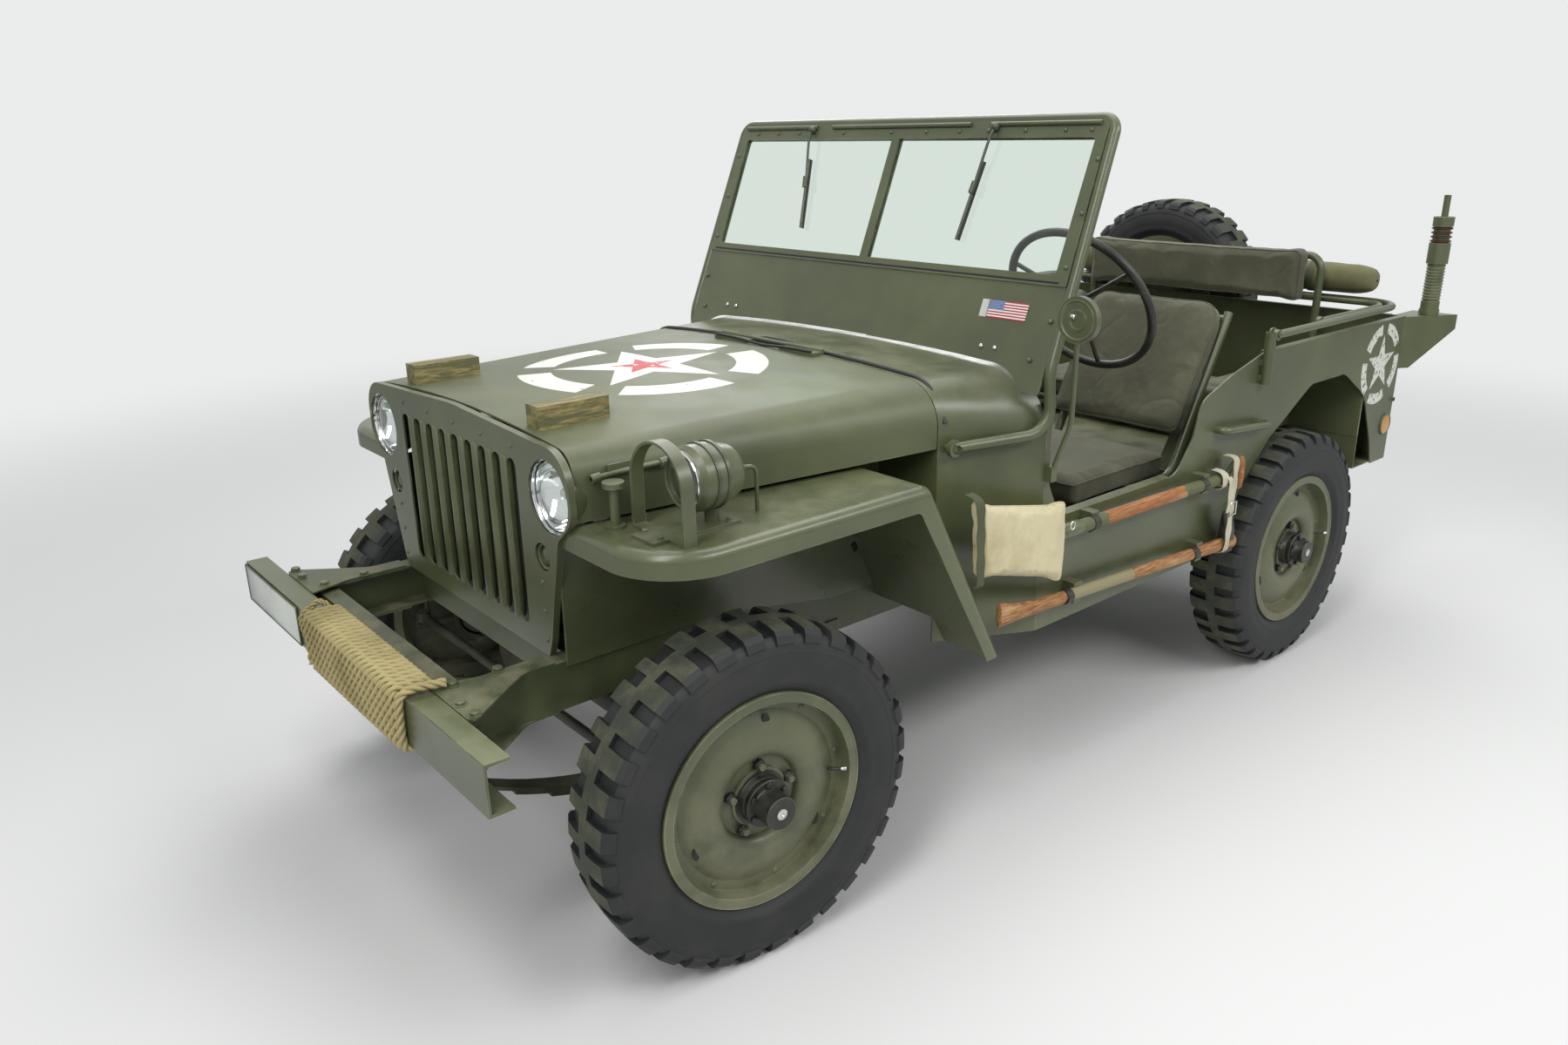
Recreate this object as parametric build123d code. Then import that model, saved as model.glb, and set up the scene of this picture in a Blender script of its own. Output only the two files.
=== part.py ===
from build123d import *
import os
from math import atan2, cos, degrees, pi, radians, sin, sqrt

# An open four-wheel-drive army car of the quarter-ton kind, at its real size in millimetres.
# +X is the car's left, the front looks along -Y and +Z is up.
# While the pieces are made, y is measured back from the front axle. save_node() shifts every piece
# so that the origin lies on the ground under the middle of the car.

# Whole car
FRONT_Y = -534
WHEELBASE = 2032
HALF_TRACK = 625
STEER_REST = -5

# Wheels
TYRE_RADIUS = 352
TYRE_HALF_WIDTH = 80
TYRE_WALL = 13
LUG_HEIGHT = 12
BEAD_RADIUS = 209
FLANGE_RADIUS = 222
RIM_HALF_WIDTH = 67
RIM_WALL = 6
DISC_X = 37
DISC_WALL = 6
DRUM_RADIUS = 122
DRUM_BACK = -6
HUB_RADIUS = 48
HUB_FLANGE_RADIUS = 62
CAP_RADIUS = 33
FRONT_CAP_X = 118
REAR_CAP_X = 72
STUD_CIRCLE = 139.7
STUD_COUNT = 5
STUD_RADIUS = 6.4
STUD_LENGTH = 22
SPINDLE_RADIUS = 25
SPINDLE_END = 98
RUNNING_GAP = 0.3
MOVING_GAP = 6

# Axles and steering
AXLE_Z = TYRE_RADIUS
TUBE_RADIUS = 35
KINGPIN_X = 540
BALL_RADIUS = 60
KNUCKLE_WALL = 12
KINGPIN_RADIUS = 12
BACKPLATE_RADIUS = 116
BACKPLATE_WALL = 4
DIFF_X = -215
DIFF_RADIUS = 120
DIFF_LENGTH = 110
PINION_LENGTH = 90
ARM_LENGTH = 150
TIE_ROD_Z = 372
TIE_ROD_RADIUS = 11
STUD_PIN_RADIUS = 7
STEERING_X = 360
STEERING_SLOPE = 30
STEERING_RADIUS = 219
STEERING_HUB_LOW = 13
COLUMN_RADIUS = 19
COLUMN_LENGTH = 900
COLUMN_AT_DASH = (400, 690)
COLUMN_AT_WALL = (700, 950)

# Frame and springs
RAIL_OUTER = 371
RAIL_WIDTH = 44
RAIL_DEPTH = 100
RAIL_WALL = 5
FRONT_RAIL_TOP = 606
FLOOR_RAIL_TOP = 556
REAR_RAIL_TOP = 612
SPRING_LEAF = 7
SPRING_LEAVES = 5
SPRING_SEAT_Z = 304
EYE_Z = 430
EYE_RADIUS = 20
EYE_PIN_RADIUS = 8

# Body
SHEET = 4
TUB_HALF = 645
TUB_REAR = WHEELBASE + 658
TUB_LOW_Z = 500
TUB_RAIL_Z = 970
SILL_Z = 430
DOOR_Z = 700
GRILLE_FRONT = -252
GRILLE_DEPTH = 14
HOOD_FRONT = -232
HOOD_REAR = 590
HOOD_GAP = 3
COWL_REAR = 850
CROWN_Z = 1062
FRONT_CROWN_Z = 1050
HOOD_FRONT_HALF = 441
HOOD_REAR_HALF = TUB_HALF - 90
HOOD_LOW_Z = (899, 906)
COWL_CORNER_Z = 1040
FRONT_CORNER_Z = 1026
SHOULDERS = (48, 95, 155)
HUMP_TOP = 690
FENDER_TOP = 893
FENDER_LIP = 845
FENDER_OUTER = TUB_HALF + 60
FENDER_FRONT = -243
FENDER_BEND = 413
FENDER_TOE = (652, 450)
FENDER_ROUND = 20
WHEEL_HOUSE_X = RAIL_OUTER + 39
WHEEL_HOUSE_TOP = 838
WHEEL_HOUSE_FRONT = WHEELBASE - TYRE_RADIUS + 10
WHEEL_HOUSE_REAR = WHEELBASE + 438

# Windshield, seen square to its own plane
SHIELD_TILT = 21.65
SHIELD_FOOT = (COWL_REAR - 34, 1045)
SHIELD_PIVOT = (HOOD_REAR + 22, 908)
SHIELD_KNEE_X = TUB_HALF + 10
SHIELD_TOP_X = TUB_HALF - 6
SHIELD_HIP = (TUB_HALF + 17, COWL_REAR - 12, 918)
SHIELD_TUBE = 12.7
SHIELD_TOP = 574
SHIELD_EYE_X = TUB_HALF - 69
SHIELD_SKIRT = -40
GLASS_LOW = 210
GLASS_HIGH = 540
PANE_X = TUB_HALF - 41
GLASS_WALL = 5
GLASS_FIT = 0.2

# Bumper and rope
BUMPER_HALF = 622
BUMPER_DEPTH = 48
ROPE_DIAMETER = 20
ROPE_SPAN = (-182, 296)

# Grille, lamps and hood fittings
SLOT_COUNT = 9
SLOT_PITCH = 61
SLOT_WIDTH = 35
SLOT_SPAN = (650, 985)
HEADLAMP = (378, 937)
HEADLAMP_RADIUS = 71
MARKER = (338, 812)
MARKER_RADIUS = 28
HOOD_HINGE = (589, 1070)
HINGE_RADIUS = 5
HINGE_PIN = 2.5
HINGE_HALF = 190
HINGE_SPLIT = 64
BLOCK_X = 275
BLOCK_WIDTH = 46
BLOCK_HEIGHT = 43
BLOCK_SPAN = (-215, -62)

# Seats
SEAT_INNER = 78
SEAT_OUTER = TUB_HALF - 124
SEAT_TOP = 702
SEAT_DEPTH = 449
SEAT_REAR = WHEEL_HOUSE_FRONT - 96
SEAT_FRONT = SEAT_REAR - SEAT_DEPTH
SEAT_HINGE = (SEAT_FRONT + 20, 580)
SEAT_CUSHION = 65
SEAT_BACK = ((SEAT_REAR + 58, SEAT_TOP + 14), (SEAT_REAR + 248, SEAT_TOP + 378))
SEAT_BACK_LENGTH = 410
SEAT_BACK_CUSHION = 60
SEAT_PIN_RADIUS = 6
FRAME_TUBE = 12
REAR_SEAT_HINGE = (WHEELBASE + 410, REAR_RAIL_TOP + 56)
REAR_SEAT_FRONT = REAR_SEAT_HINGE[0] - 412
REAR_RAIL_X = WHEEL_HOUSE_X + 16
REAR_RAIL_Y = REAR_SEAT_HINGE[0] + 88
REAR_BACK_LOW = 1004
REAR_BACK_TOP = 1188

# Folding top
BOW_PIVOT = (WHEEL_HOUSE_FRONT + 150, TUB_RAIL_Z + 42)
BOW_X = TUB_HALF + 7
BOW_TUBE = 11
BOW_INSET = 50
BOW_REACH = TUB_REAR - BOW_INSET - BOW_PIVOT[0]
REAR_BOW_X = TUB_HALF - 21
REAR_BOW_PIVOT = 300
REAR_BOW_REACH = BOW_REACH - REAR_BOW_PIVOT - 40
SOCKET_RADIUS = 14
SOCKET_SPAN = (884, 1026)
ROLL_RADIUS = 54
ROLL_HALF = TUB_HALF - 85

# Rear end, fittings and tools
SPARE_PLACE = (-275, 945)
SPARE_Y = TUB_REAR + TYRE_HALF_WIDTH + 15
REAR_Y = SPARE_Y + TYRE_HALF_WIDTH
HOOK_Z = 560
ANTENNA_PLACE = (TUB_HALF + 27, TUB_REAR + 100)
ANTENNA_SHELF = (TUB_HALF - 45, TUB_HALF + 93, TUB_REAR + 160)
ANTENNA_STACK = (
    # radius, bottom, top
    (27, 966, 1010), (24, 1008, 1130), (31, 1128, 1192), (24, 1190, 1245), (30, 1243, 1272), (10, 1270, 1338),
)
MAST_RADIUS = 6
MAST_DEPTH = 40
MIRROR_PLACE = (TUB_HALF + 77, COWL_REAR - 18, 1173)
MIRROR_RADIUS = 50
LAMP_PLACE = (588, -40, 985)
HOOD_REST = (491, -182)
TOOL_X = TUB_HALF + 35
TOOL_RADIUS = 17
SHOVEL_SHAFT = ((COWL_REAR + 65, 676), (WHEEL_HOUSE_FRONT - 90, 663))
AXE_SHAFT = ((COWL_REAR - 146, 524), (WHEEL_HOUSE_FRONT - 40, 466))
BAG_DEPTH = 34
STEERING_HUB = (COWL_REAR + 483, 1123)
HUMP_END = SEAT_FRONT - 145
CASE_SPAN = (HUMP_END - 100, HUMP_END + 85)
LEVERS = (
    # x, place in front of the gearbox cover's end, lean towards the rear, height over the cover
    (-12, 150, 90, 330),
    (28, 45, 70, 210),
    (62, 45, 60, 190),
)

SHIFT_Y = -(FRONT_Y + REAR_Y) / 2
AXES = {
    "x": (Plane.YZ, Vector(1, 0, 0)),
    "y": (Plane.XZ, Vector(0, 1, 0)),
    "z": (Plane.XY, Vector(0, 0, 1)),
}
SIDES = (("left", 1), ("right", -1))


def box(x, y, z):
    """Block between two values on each axis."""
    middle = [(low + high) / 2 for low, high in (x, y, z)]
    return Pos(*middle) * Box(x[1] - x[0], y[1] - y[0], z[1] - z[0])


def outline(corners):
    """Closed face of corners (u, v) or (u, v, corner radius)."""
    points = [corner[:2] for corner in corners]
    radii = [corner[2] if len(corner) > 2 else 0 for corner in corners]
    return make_face(FilletPolyline(*points, radius=radii, close=True))


def prism(across, low, high, corners):
    """Solid of an outline square to one axis, between two places on that axis."""
    plane, along = AXES[across]
    face = Pos(*(along * low)) * (plane * outline(corners))
    return extrude(face, amount=high - low, dir=along)


def rod(start, end, radius):
    """Straight round bar between two points."""
    run = Vector(*end) - Vector(*start)
    return extrude(Plane(origin=start, z_dir=run) * Circle(radius), amount=run.length)


def disc(across, centre, radius, low, high):
    """Round slice square to one axis, between two places on that axis."""
    along = AXES[across][1]
    index = "xyz".index(across)
    start = list(centre)
    start[index] = low
    return extrude(Plane(origin=start, z_dir=along) * Circle(radius), amount=high - low)


def tube(points, radius, bends):
    """Round bar along straight runs with rounded corners."""
    path = FilletPolyline(*points, radius=bends)
    section = Plane(origin=path @ 0, z_dir=path % 0) * Circle(radius)
    return sweep(section, path=path)


def mirrored(shape):
    """The same shape on the car's other side."""
    return mirror(shape, about=Plane.YZ)


def save_node(name, *shapes):
    """Write one node, shifted to the car's origin."""
    solids = [solid for shape in shapes for solid in shape.solids()]
    export_step(Pos(0, SHIFT_Y, 0) * Compound(solids), f"parts/{name}.step")


def body_section(y, half_width, corner_z, crown_z, corner, low_z, inset=0):
    """Cross section of the hood and cowl: upright sides, round shoulders and a crowned top."""
    half = half_width - inset
    shoulder = corner_z - inset
    top = ThreePointArc((-half, shoulder), (0, crown_z - inset), (half, shoulder))
    sides = Polyline((half, shoulder), (half, low_z), (-half, low_z), (-half, shoulder))
    face = make_face(Curve() + [top, sides])
    upper = face.vertices().sort_by(Axis.Y)[-2:]
    return Pos(0, y, 0) * (Plane.XZ * fillet(upper, corner - inset))


def hood_solid(inset, low_drop):
    """Solid hood form, which an inset copy makes hollow."""
    front = body_section(
        HOOD_FRONT, HOOD_FRONT_HALF, FRONT_CORNER_Z, FRONT_CROWN_Z,
        SHOULDERS[0], HOOD_LOW_Z[0] - low_drop, inset)
    rear = body_section(
        HOOD_REAR - HOOD_GAP, HOOD_REAR_HALF, COWL_CORNER_Z, CROWN_Z,
        SHOULDERS[1], HOOD_LOW_Z[1] - low_drop, inset)
    return loft([front, rear])


def cowl_solid(inset):
    """Solid cowl form between the hood and the windshield, down to the sills."""
    front = body_section(HOOD_REAR, HOOD_REAR_HALF, COWL_CORNER_Z, CROWN_Z, SHOULDERS[1], SILL_Z + 20, inset)
    rear = body_section(COWL_REAR, TUB_HALF, COWL_CORNER_Z, CROWN_Z, SHOULDERS[2], SILL_Z, inset)
    return loft([front, rear])


def cowl_half(y):
    """Half width of the cowl's sides at a place along the car."""
    share = (y - HOOD_REAR) / (COWL_REAR - HOOD_REAR)
    return HOOD_REAR_HALF + share * (TUB_HALF - HOOD_REAR_HALF)


def shield_point(x, along, depth=0):
    """A point of the windshield: across, up its slope, and back from its front face."""
    tilt = radians(SHIELD_TILT)
    y = SHIELD_FOOT[0] + along * sin(tilt) + depth * cos(tilt)
    z = SHIELD_FOOT[1] + along * cos(tilt) - depth * sin(tilt)
    return (x, y, z)


def shield_plate(corners, depth, thickness):
    """Plate in the windshield's plane, its front face at a depth behind the plane."""
    tilt = radians(SHIELD_TILT)
    back = Vector(0, cos(tilt), -sin(tilt))
    plane = Plane(origin=shield_point(0, 0, depth), x_dir=(1, 0, 0), z_dir=back * -1)
    return extrude(plane * outline(corners), amount=thickness, dir=back)


def wheel_rim(with_hub, cap_x=0):
    """Rim about the X axis, its outboard side towards +X, with the drum and hub of a road wheel."""
    barrel = outline([
        (RIM_HALF_WIDTH, FLANGE_RADIUS), (60, FLANGE_RADIUS), (60, 208), (32, 205), (24, 192),
        (-24, 192), (-32, 205), (-60, 208), (-60, FLANGE_RADIUS), (-RIM_HALF_WIDTH, FLANGE_RADIUS),
        (-RIM_HALF_WIDTH, 202), (-36, 199), (-28, 192 - RIM_WALL), (28, 192 - RIM_WALL), (36, 199),
        (RIM_HALF_WIDTH, 202),
    ])
    body = revolve(barrel, axis=Axis.X)
    body += disc("x", (0, 0, 0), 201, DISC_X - DISC_WALL, DISC_X)
    if not with_hub:
        body -= disc("x", (0, 0, 0), HUB_RADIUS, DISC_X - 20, DISC_X + 20)
        for index in range(STUD_COUNT):
            turn = Rot(360 * index / STUD_COUNT, 0, 0)
            body -= turn * disc("x", (0, 0, STUD_CIRCLE / 2), STUD_RADIUS + RUNNING_GAP,
                DISC_X - 20, DISC_X + 20)
        return body
    drum = disc("x", (0, 0, 0), DRUM_RADIUS, DRUM_BACK, DISC_X - DISC_WALL + 1)
    drum -= disc("x", (0, 0, 0), DRUM_RADIUS - RIM_WALL, DRUM_BACK, DISC_X - DISC_WALL - RIM_WALL)
    body += drum
    body += disc("x", (0, 0, 0), HUB_RADIUS - 6, DRUM_BACK, DISC_X)
    body += disc("x", (0, 0, 0), HUB_RADIUS, DISC_X, SPINDLE_END - 24)
    body += disc("x", (0, 0, 0), CAP_RADIUS, DISC_X, max(cap_x, SPINDLE_END + 8))
    body += disc("x", (0, 0, 0), HUB_FLANGE_RADIUS, DISC_X, DISC_X + 8)
    for index in range(STUD_COUNT):
        turn = Rot(360 * index / STUD_COUNT, 0, 0)
        body += turn * disc("x", (0, 0, STUD_CIRCLE / 2), STUD_RADIUS, DISC_X - 2, DISC_X + STUD_LENGTH)
    body -= disc("x", (0, 0, 0), SPINDLE_RADIUS + RUNNING_GAP, DRUM_BACK - 10, SPINDLE_END + 2)
    return body


def both_sides(half):
    """Corners of an outline that is the same on both sides of its middle, from one side's corners."""
    return half + [(-corner[0],) + tuple(corner[1:]) for corner in half[-2::-1]]


def tyre():
    """Tyre about the X axis, out to the tips of its lugs."""
    crown = TYRE_RADIUS - LUG_HEIGHT - TYRE_WALL
    outer = [
        (59.7, BEAD_RADIUS), (59.7, 225, 8), (TYRE_HALF_WIDTH, 258, 30), (TYRE_HALF_WIDTH, 300, 30),
        (66, 344, 12), (0, TYRE_RADIUS),
    ]
    inner = [
        (48, BEAD_RADIUS), (48, 228, 8), (66, 262, 20), (66, 298, 20), (50, crown - 2, 12), (0, crown),
    ]
    section = outline(both_sides(outer)) - outline(both_sides(inner))
    return revolve(section, axis=Axis.X)


def spindle(length_from):
    """Fixed shaft that a wheel turns on, about the X axis from a place to the hub's end."""
    return disc("x", (0, 0, 0), SPINDLE_RADIUS, length_from, SPINDLE_END)


def backplate():
    """Brake backing plate about the X axis, clear of the turning drum."""
    back = DRUM_BACK - MOVING_GAP
    return disc("x", (0, 0, 0), BACKPLATE_RADIUS, back - BACKPLATE_WALL, back)


# Chassis

def rail_outline(inset):
    """Side view of a frame rail, with its top and bottom moved inwards."""
    tops = [
        (-486, FRONT_RAIL_TOP), (170, FRONT_RAIL_TOP, 150), (430, FLOOR_RAIL_TOP, 150),
        (WHEEL_HOUSE_FRONT + 25, FLOOR_RAIL_TOP, 150), (WHEELBASE - 102, REAR_RAIL_TOP, 150),
        (TUB_REAR - 40, REAR_RAIL_TOP),
    ]
    top = [(corner[0], corner[1] - inset) + tuple(corner[2:]) for corner in tops]
    drop = RAIL_DEPTH
    bottom = [(corner[0], corner[1] - drop + inset) + tuple(corner[2:]) for corner in reversed(tops)]
    return top + bottom


SPRINGS = (
    # axle y, half length between eyes, height of the rail's underside at front eye and at rear eye
    (0, 442, 506, 456),
    (WHEELBASE, 490, 456, 512),
)


def frame():
    """Two channel rails with gussets and spring hangers, their crossmembers and the floor's outriggers."""
    inner = RAIL_OUTER - RAIL_WIDTH
    rail = prism("x", inner, RAIL_OUTER, rail_outline(0))
    rail -= prism("x", inner, RAIL_OUTER - RAIL_WALL, rail_outline(RAIL_WALL))
    gusset = [
        (300, -486), (485, -486, 12), (RAIL_OUTER, -330, 60),
        (RAIL_OUTER, -262), (inner, -262), (inner, -400, 40),
    ]
    rail += prism("z", FRONT_RAIL_TOP, FRONT_RAIL_TOP + SHEET, gusset)
    rail += prism("z", FRONT_RAIL_TOP - RAIL_DEPTH - SHEET, FRONT_RAIL_TOP - RAIL_DEPTH, gusset)
    for axle_y, half_length, front_z, rear_z in SPRINGS:
        for eye_y, under in ((axle_y - half_length, front_z), (axle_y + half_length, rear_z)):
            cheek = [
                (eye_y - 24, under + 30), (eye_y - 16, EYE_Z - 24, 16), (eye_y + 16, EYE_Z - 24, 16),
                (eye_y + 24, under + 30),
            ]
            rail += prism("x", RAIL_OUTER, RAIL_OUTER + 5, cheek)
            rail += prism("x", inner - 5, inner, cheek)
            rail += disc("x", (0, eye_y, EYE_Z), EYE_PIN_RADIUS, inner - 5, RAIL_OUTER + 5)
    pieces = [rail, mirrored(rail)]
    web = RAIL_OUTER - RAIL_WALL - RUNNING_GAP
    members = (
        # y low, y high, z low, z high
        (-462, -422, 515, 595),
        (-215, -145, 515, 598),
        (CASE_SPAN[1], CASE_SPAN[1] + 45, 470, 550),
        (WHEEL_HOUSE_FRONT, WHEEL_HOUSE_FRONT + 40, 470, 548),
        (TUB_REAR - 90, TUB_REAR - 40, 518, 606),
    )
    for y_low, y_high, z_low, z_high in members:
        pieces.append(box((-web, web), (y_low, y_high), (z_low, z_high)))
    outrigger_y = (CASE_SPAN[1] + 45, CASE_SPAN[1] + 85)
    outrigger = box((RAIL_OUTER + RUNNING_GAP, TUB_HALF - SHEET), outrigger_y, (500, FLOOR_RAIL_TOP))
    return pieces + [outrigger, mirrored(outrigger)]


def leaf_springs():
    """Leaf springs under both axles, their eyes on the hangers' pins."""
    inner = RAIL_OUTER - RAIL_WIDTH
    springs = []
    for axle_y, half_length, _, _ in SPRINGS:
        rise = EYE_Z - EYE_RADIUS + SPRING_LEAF - SPRING_SEAT_Z
        arc = (half_length ** 2 + rise ** 2) / (2 * rise)
        centre = (0, axle_y, SPRING_SEAT_Z + arc)
        spring = None
        for leaf in range(SPRING_LEAVES):
            reach = half_length - leaf * half_length / (SPRING_LEAVES + 1)
            outer = arc + SPRING_LEAF * (leaf + 1)
            ring = disc("x", centre, outer, inner + 1, RAIL_OUTER - 1)
            ring -= disc("x", centre, outer - SPRING_LEAF - (1 if leaf else 0), inner, RAIL_OUTER)
            ring &= box((inner, RAIL_OUTER), (axle_y - reach, axle_y + reach), (0, EYE_Z + EYE_RADIUS))
            spring = ring if spring is None else spring + ring
        for eye_y in (axle_y - half_length, axle_y + half_length):
            spring += disc("x", (0, eye_y, EYE_Z), EYE_RADIUS, inner + 1, RAIL_OUTER - 1)
            spring -= disc("x", (0, eye_y, EYE_Z), EYE_PIN_RADIUS + RUNNING_GAP, inner, RAIL_OUTER)
        springs += [spring, mirrored(spring)]
    return springs


def differential(axle_y, pinion):
    """Axle housing about its middle: the big round case and its nose towards the middle of the car."""
    centre = (DIFF_X, axle_y, AXLE_Z)
    half = DIFF_LENGTH / 2
    case = disc("y", centre, DIFF_RADIUS, axle_y - half, axle_y + half)
    case = fillet(case.edges().filter_by(GeomType.CIRCLE), 24)
    case += disc("y", centre, DIFF_RADIUS * 0.62, axle_y - half - 14, axle_y + half + 14)
    low, high = sorted((axle_y + pinion * half, axle_y + pinion * (half + PINION_LENGTH)))
    case += disc("y", (DIFF_X, axle_y, AXLE_Z + 12), 44, low, high)
    return case


def spring_pads(axle_y):
    """Seats that the springs are bolted to under an axle tube."""
    x_middle = RAIL_OUTER - RAIL_WIDTH / 2
    pad = box((x_middle - 24, x_middle + 24), (axle_y - 24, axle_y + 24), (SPRING_SEAT_Z + 0.6, AXLE_Z - 20))
    return pad + mirrored(pad)


def front_axle():
    """Front axle housing with the ball ends that the knuckles turn on."""
    reach = KINGPIN_X - 20
    axle = disc("x", (0, 0, AXLE_Z), TUBE_RADIUS, -reach, reach)
    axle += differential(0, 1) + spring_pads(0)
    for _, side in SIDES:
        ball = Pos(side * KINGPIN_X, 0, AXLE_Z) * Sphere(BALL_RADIUS)
        for low, high in ((AXLE_Z + 36, AXLE_Z + 70), (AXLE_Z - 70, AXLE_Z - 36)):
            ball -= disc("z", (side * KINGPIN_X, 0, 0), KINGPIN_RADIUS + RUNNING_GAP, low, high)
        axle += ball
    return axle


def rear_axle():
    """Rear axle housing with its backing plates and the shafts that the wheels turn on."""
    reach = HALF_TRACK + DRUM_BACK - MOVING_GAP
    axle = disc("x", (0, WHEELBASE, AXLE_Z), TUBE_RADIUS, -reach, reach)
    axle += differential(WHEELBASE, -1) + spring_pads(WHEELBASE)
    hub = backplate() + spindle(DRUM_BACK - MOVING_GAP - BACKPLATE_WALL)
    hub = Pos(HALF_TRACK, WHEELBASE, AXLE_Z) * hub
    return axle + hub + mirrored(hub)


def knuckle(side):
    """Steering knuckle: bell round the axle's ball, kingpins, arm, backing plate and wheel shaft."""
    bell_end = HALF_TRACK - KINGPIN_X + DRUM_BACK - MOVING_GAP - BACKPLATE_WALL
    inside = BALL_RADIUS + 4
    outside = inside + KNUCKLE_WALL
    shell = revolve(outline([
        (-20, inside), (-20, outside), (20, outside, 20), (bell_end, 54), (bell_end, 0), (inside, 0),
        (inside, 30, 8), (40, inside, 16),
    ]), axis=Axis.X)
    shell += Pos(HALF_TRACK - KINGPIN_X, 0, 0) * (
        backplate() + spindle(-HALF_TRACK + KINGPIN_X + bell_end - 2))
    arm_z = TIE_ROD_Z - AXLE_Z - 27
    shell += box((-14, 14), (-ARM_LENGTH - 18, -inside - 4), (arm_z, arm_z + 12))
    shell += disc("z", (0, -ARM_LENGTH, 0), STUD_PIN_RADIUS, arm_z + 6, TIE_ROD_Z - AXLE_Z + 14)
    for turn in (1, -1):
        low, high = sorted((turn * (inside + 3), turn * (outside + 8)))
        shell += disc("z", (0, 0, 0), 2.3 * KINGPIN_RADIUS, low, high)
        low, high = sorted((turn * 40, turn * (inside + 5)))
        shell += disc("z", (0, 0, 0), KINGPIN_RADIUS, low, high)
    shell = Rot(0, 0, STEER_REST * side) * shell
    if side < 0:
        shell = mirrored(shell)
    return Pos(side * KINGPIN_X, 0, AXLE_Z) * shell


def steered(side, shape):
    """A shape made about a left wheel's middle, put on one front corner at the rest steering angle."""
    shape = Pos(HALF_TRACK - KINGPIN_X, 0, 0) * shape
    shape = Rot(0, 0, STEER_REST * side) * shape
    if side < 0:
        shape = mirrored(shape)
    return Pos(side * KINGPIN_X, 0, AXLE_Z) * shape


def rear_placed(side, shape):
    """A shape made about a left wheel's middle, put on one rear corner."""
    if side < 0:
        shape = mirrored(shape)
    return Pos(side * HALF_TRACK, WHEELBASE, AXLE_Z) * shape


def tie_rod():
    """Rod between the steering arms, with an eye round each arm's stud."""
    turn = radians(STEER_REST)
    x_shift = ARM_LENGTH * sin(turn)
    y = -ARM_LENGTH * cos(turn)
    low = TIE_ROD_Z - 12 + RUNNING_GAP
    bar = disc("x", (0, y, TIE_ROD_Z), TIE_ROD_RADIUS, -KINGPIN_X + x_shift + 10, KINGPIN_X + x_shift - 10)
    for _, side in SIDES:
        eye_x = side * KINGPIN_X + x_shift
        bar += disc("z", (eye_x, y, 0), 18, low, TIE_ROD_Z + 14)
        bar -= disc("z", (eye_x, y, 0), STUD_PIN_RADIUS + RUNNING_GAP, low - 1, TIE_ROD_Z + 20)
    return bar


def engine():
    """Engine, gearbox and transfer case as one plain mass on its mounts."""
    block = box((-140, 140), (20, 520), (470, 930))
    block += box((-95, 95), (520, CASE_SPAN[0]), (450, 635))
    block += box((-250, 60), CASE_SPAN, (385, 550))
    for _, side in SIDES:
        x_low, x_high = sorted((side * 139, side * (RAIL_OUTER - RAIL_WIDTH)))
        block += box((x_low, x_high), (60, 120), (560, FRONT_RAIL_TOP))
    return block


def prop_shafts():
    """Shafts from the transfer case to the noses of both axles."""
    nose = AXLE_Z + 12
    runs = (
        # y at the axle's nose, y at the transfer case
        (DIFF_LENGTH / 2 + PINION_LENGTH, CASE_SPAN[0]),
        (WHEELBASE - DIFF_LENGTH / 2 - PINION_LENGTH, CASE_SPAN[1]),
    )
    shafts = []
    for nose_y, case_y in runs:
        step = 28 if case_y > nose_y else -28
        shaft = rod((DIFF_X, nose_y + step * 0.5, nose), (DIFF_X, case_y - step * 0.5, 430), 24)
        low, high = sorted((nose_y, nose_y + step))
        shaft += disc("y", (DIFF_X, 0, nose), 36, low, high)
        low, high = sorted((case_y, case_y - step))
        shaft += disc("y", (DIFF_X, 0, 430), 36, low, high)
        shafts.append(shaft)
    return shafts


def exhaust():
    """Pipe from the engine's side under the right rail to the muffler and its outlet."""
    pipe = tube(
        [(-140, 460, 580), (-285, 460, 580), (-285, 620, 420), (-480, 820, 412), (-480, 980, 440)],
        21, [50, 60, 60])
    end = WHEEL_HOUSE_FRONT - 250
    muffler = disc("y", (-480, 0, 440), 58, 970, end)
    muffler = fillet(muffler.edges().filter_by(GeomType.CIRCLE), 14)
    tail = tube([(-480, end - 5, 440), (-480, end + 90, 440), (-600, end + 200, 425)], 18, [70])
    hanger = box((-492, -468), (1190, 1210), (480, FLOOR_RAIL_TOP))
    return pipe + muffler + tail + hanger


# Body

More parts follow.
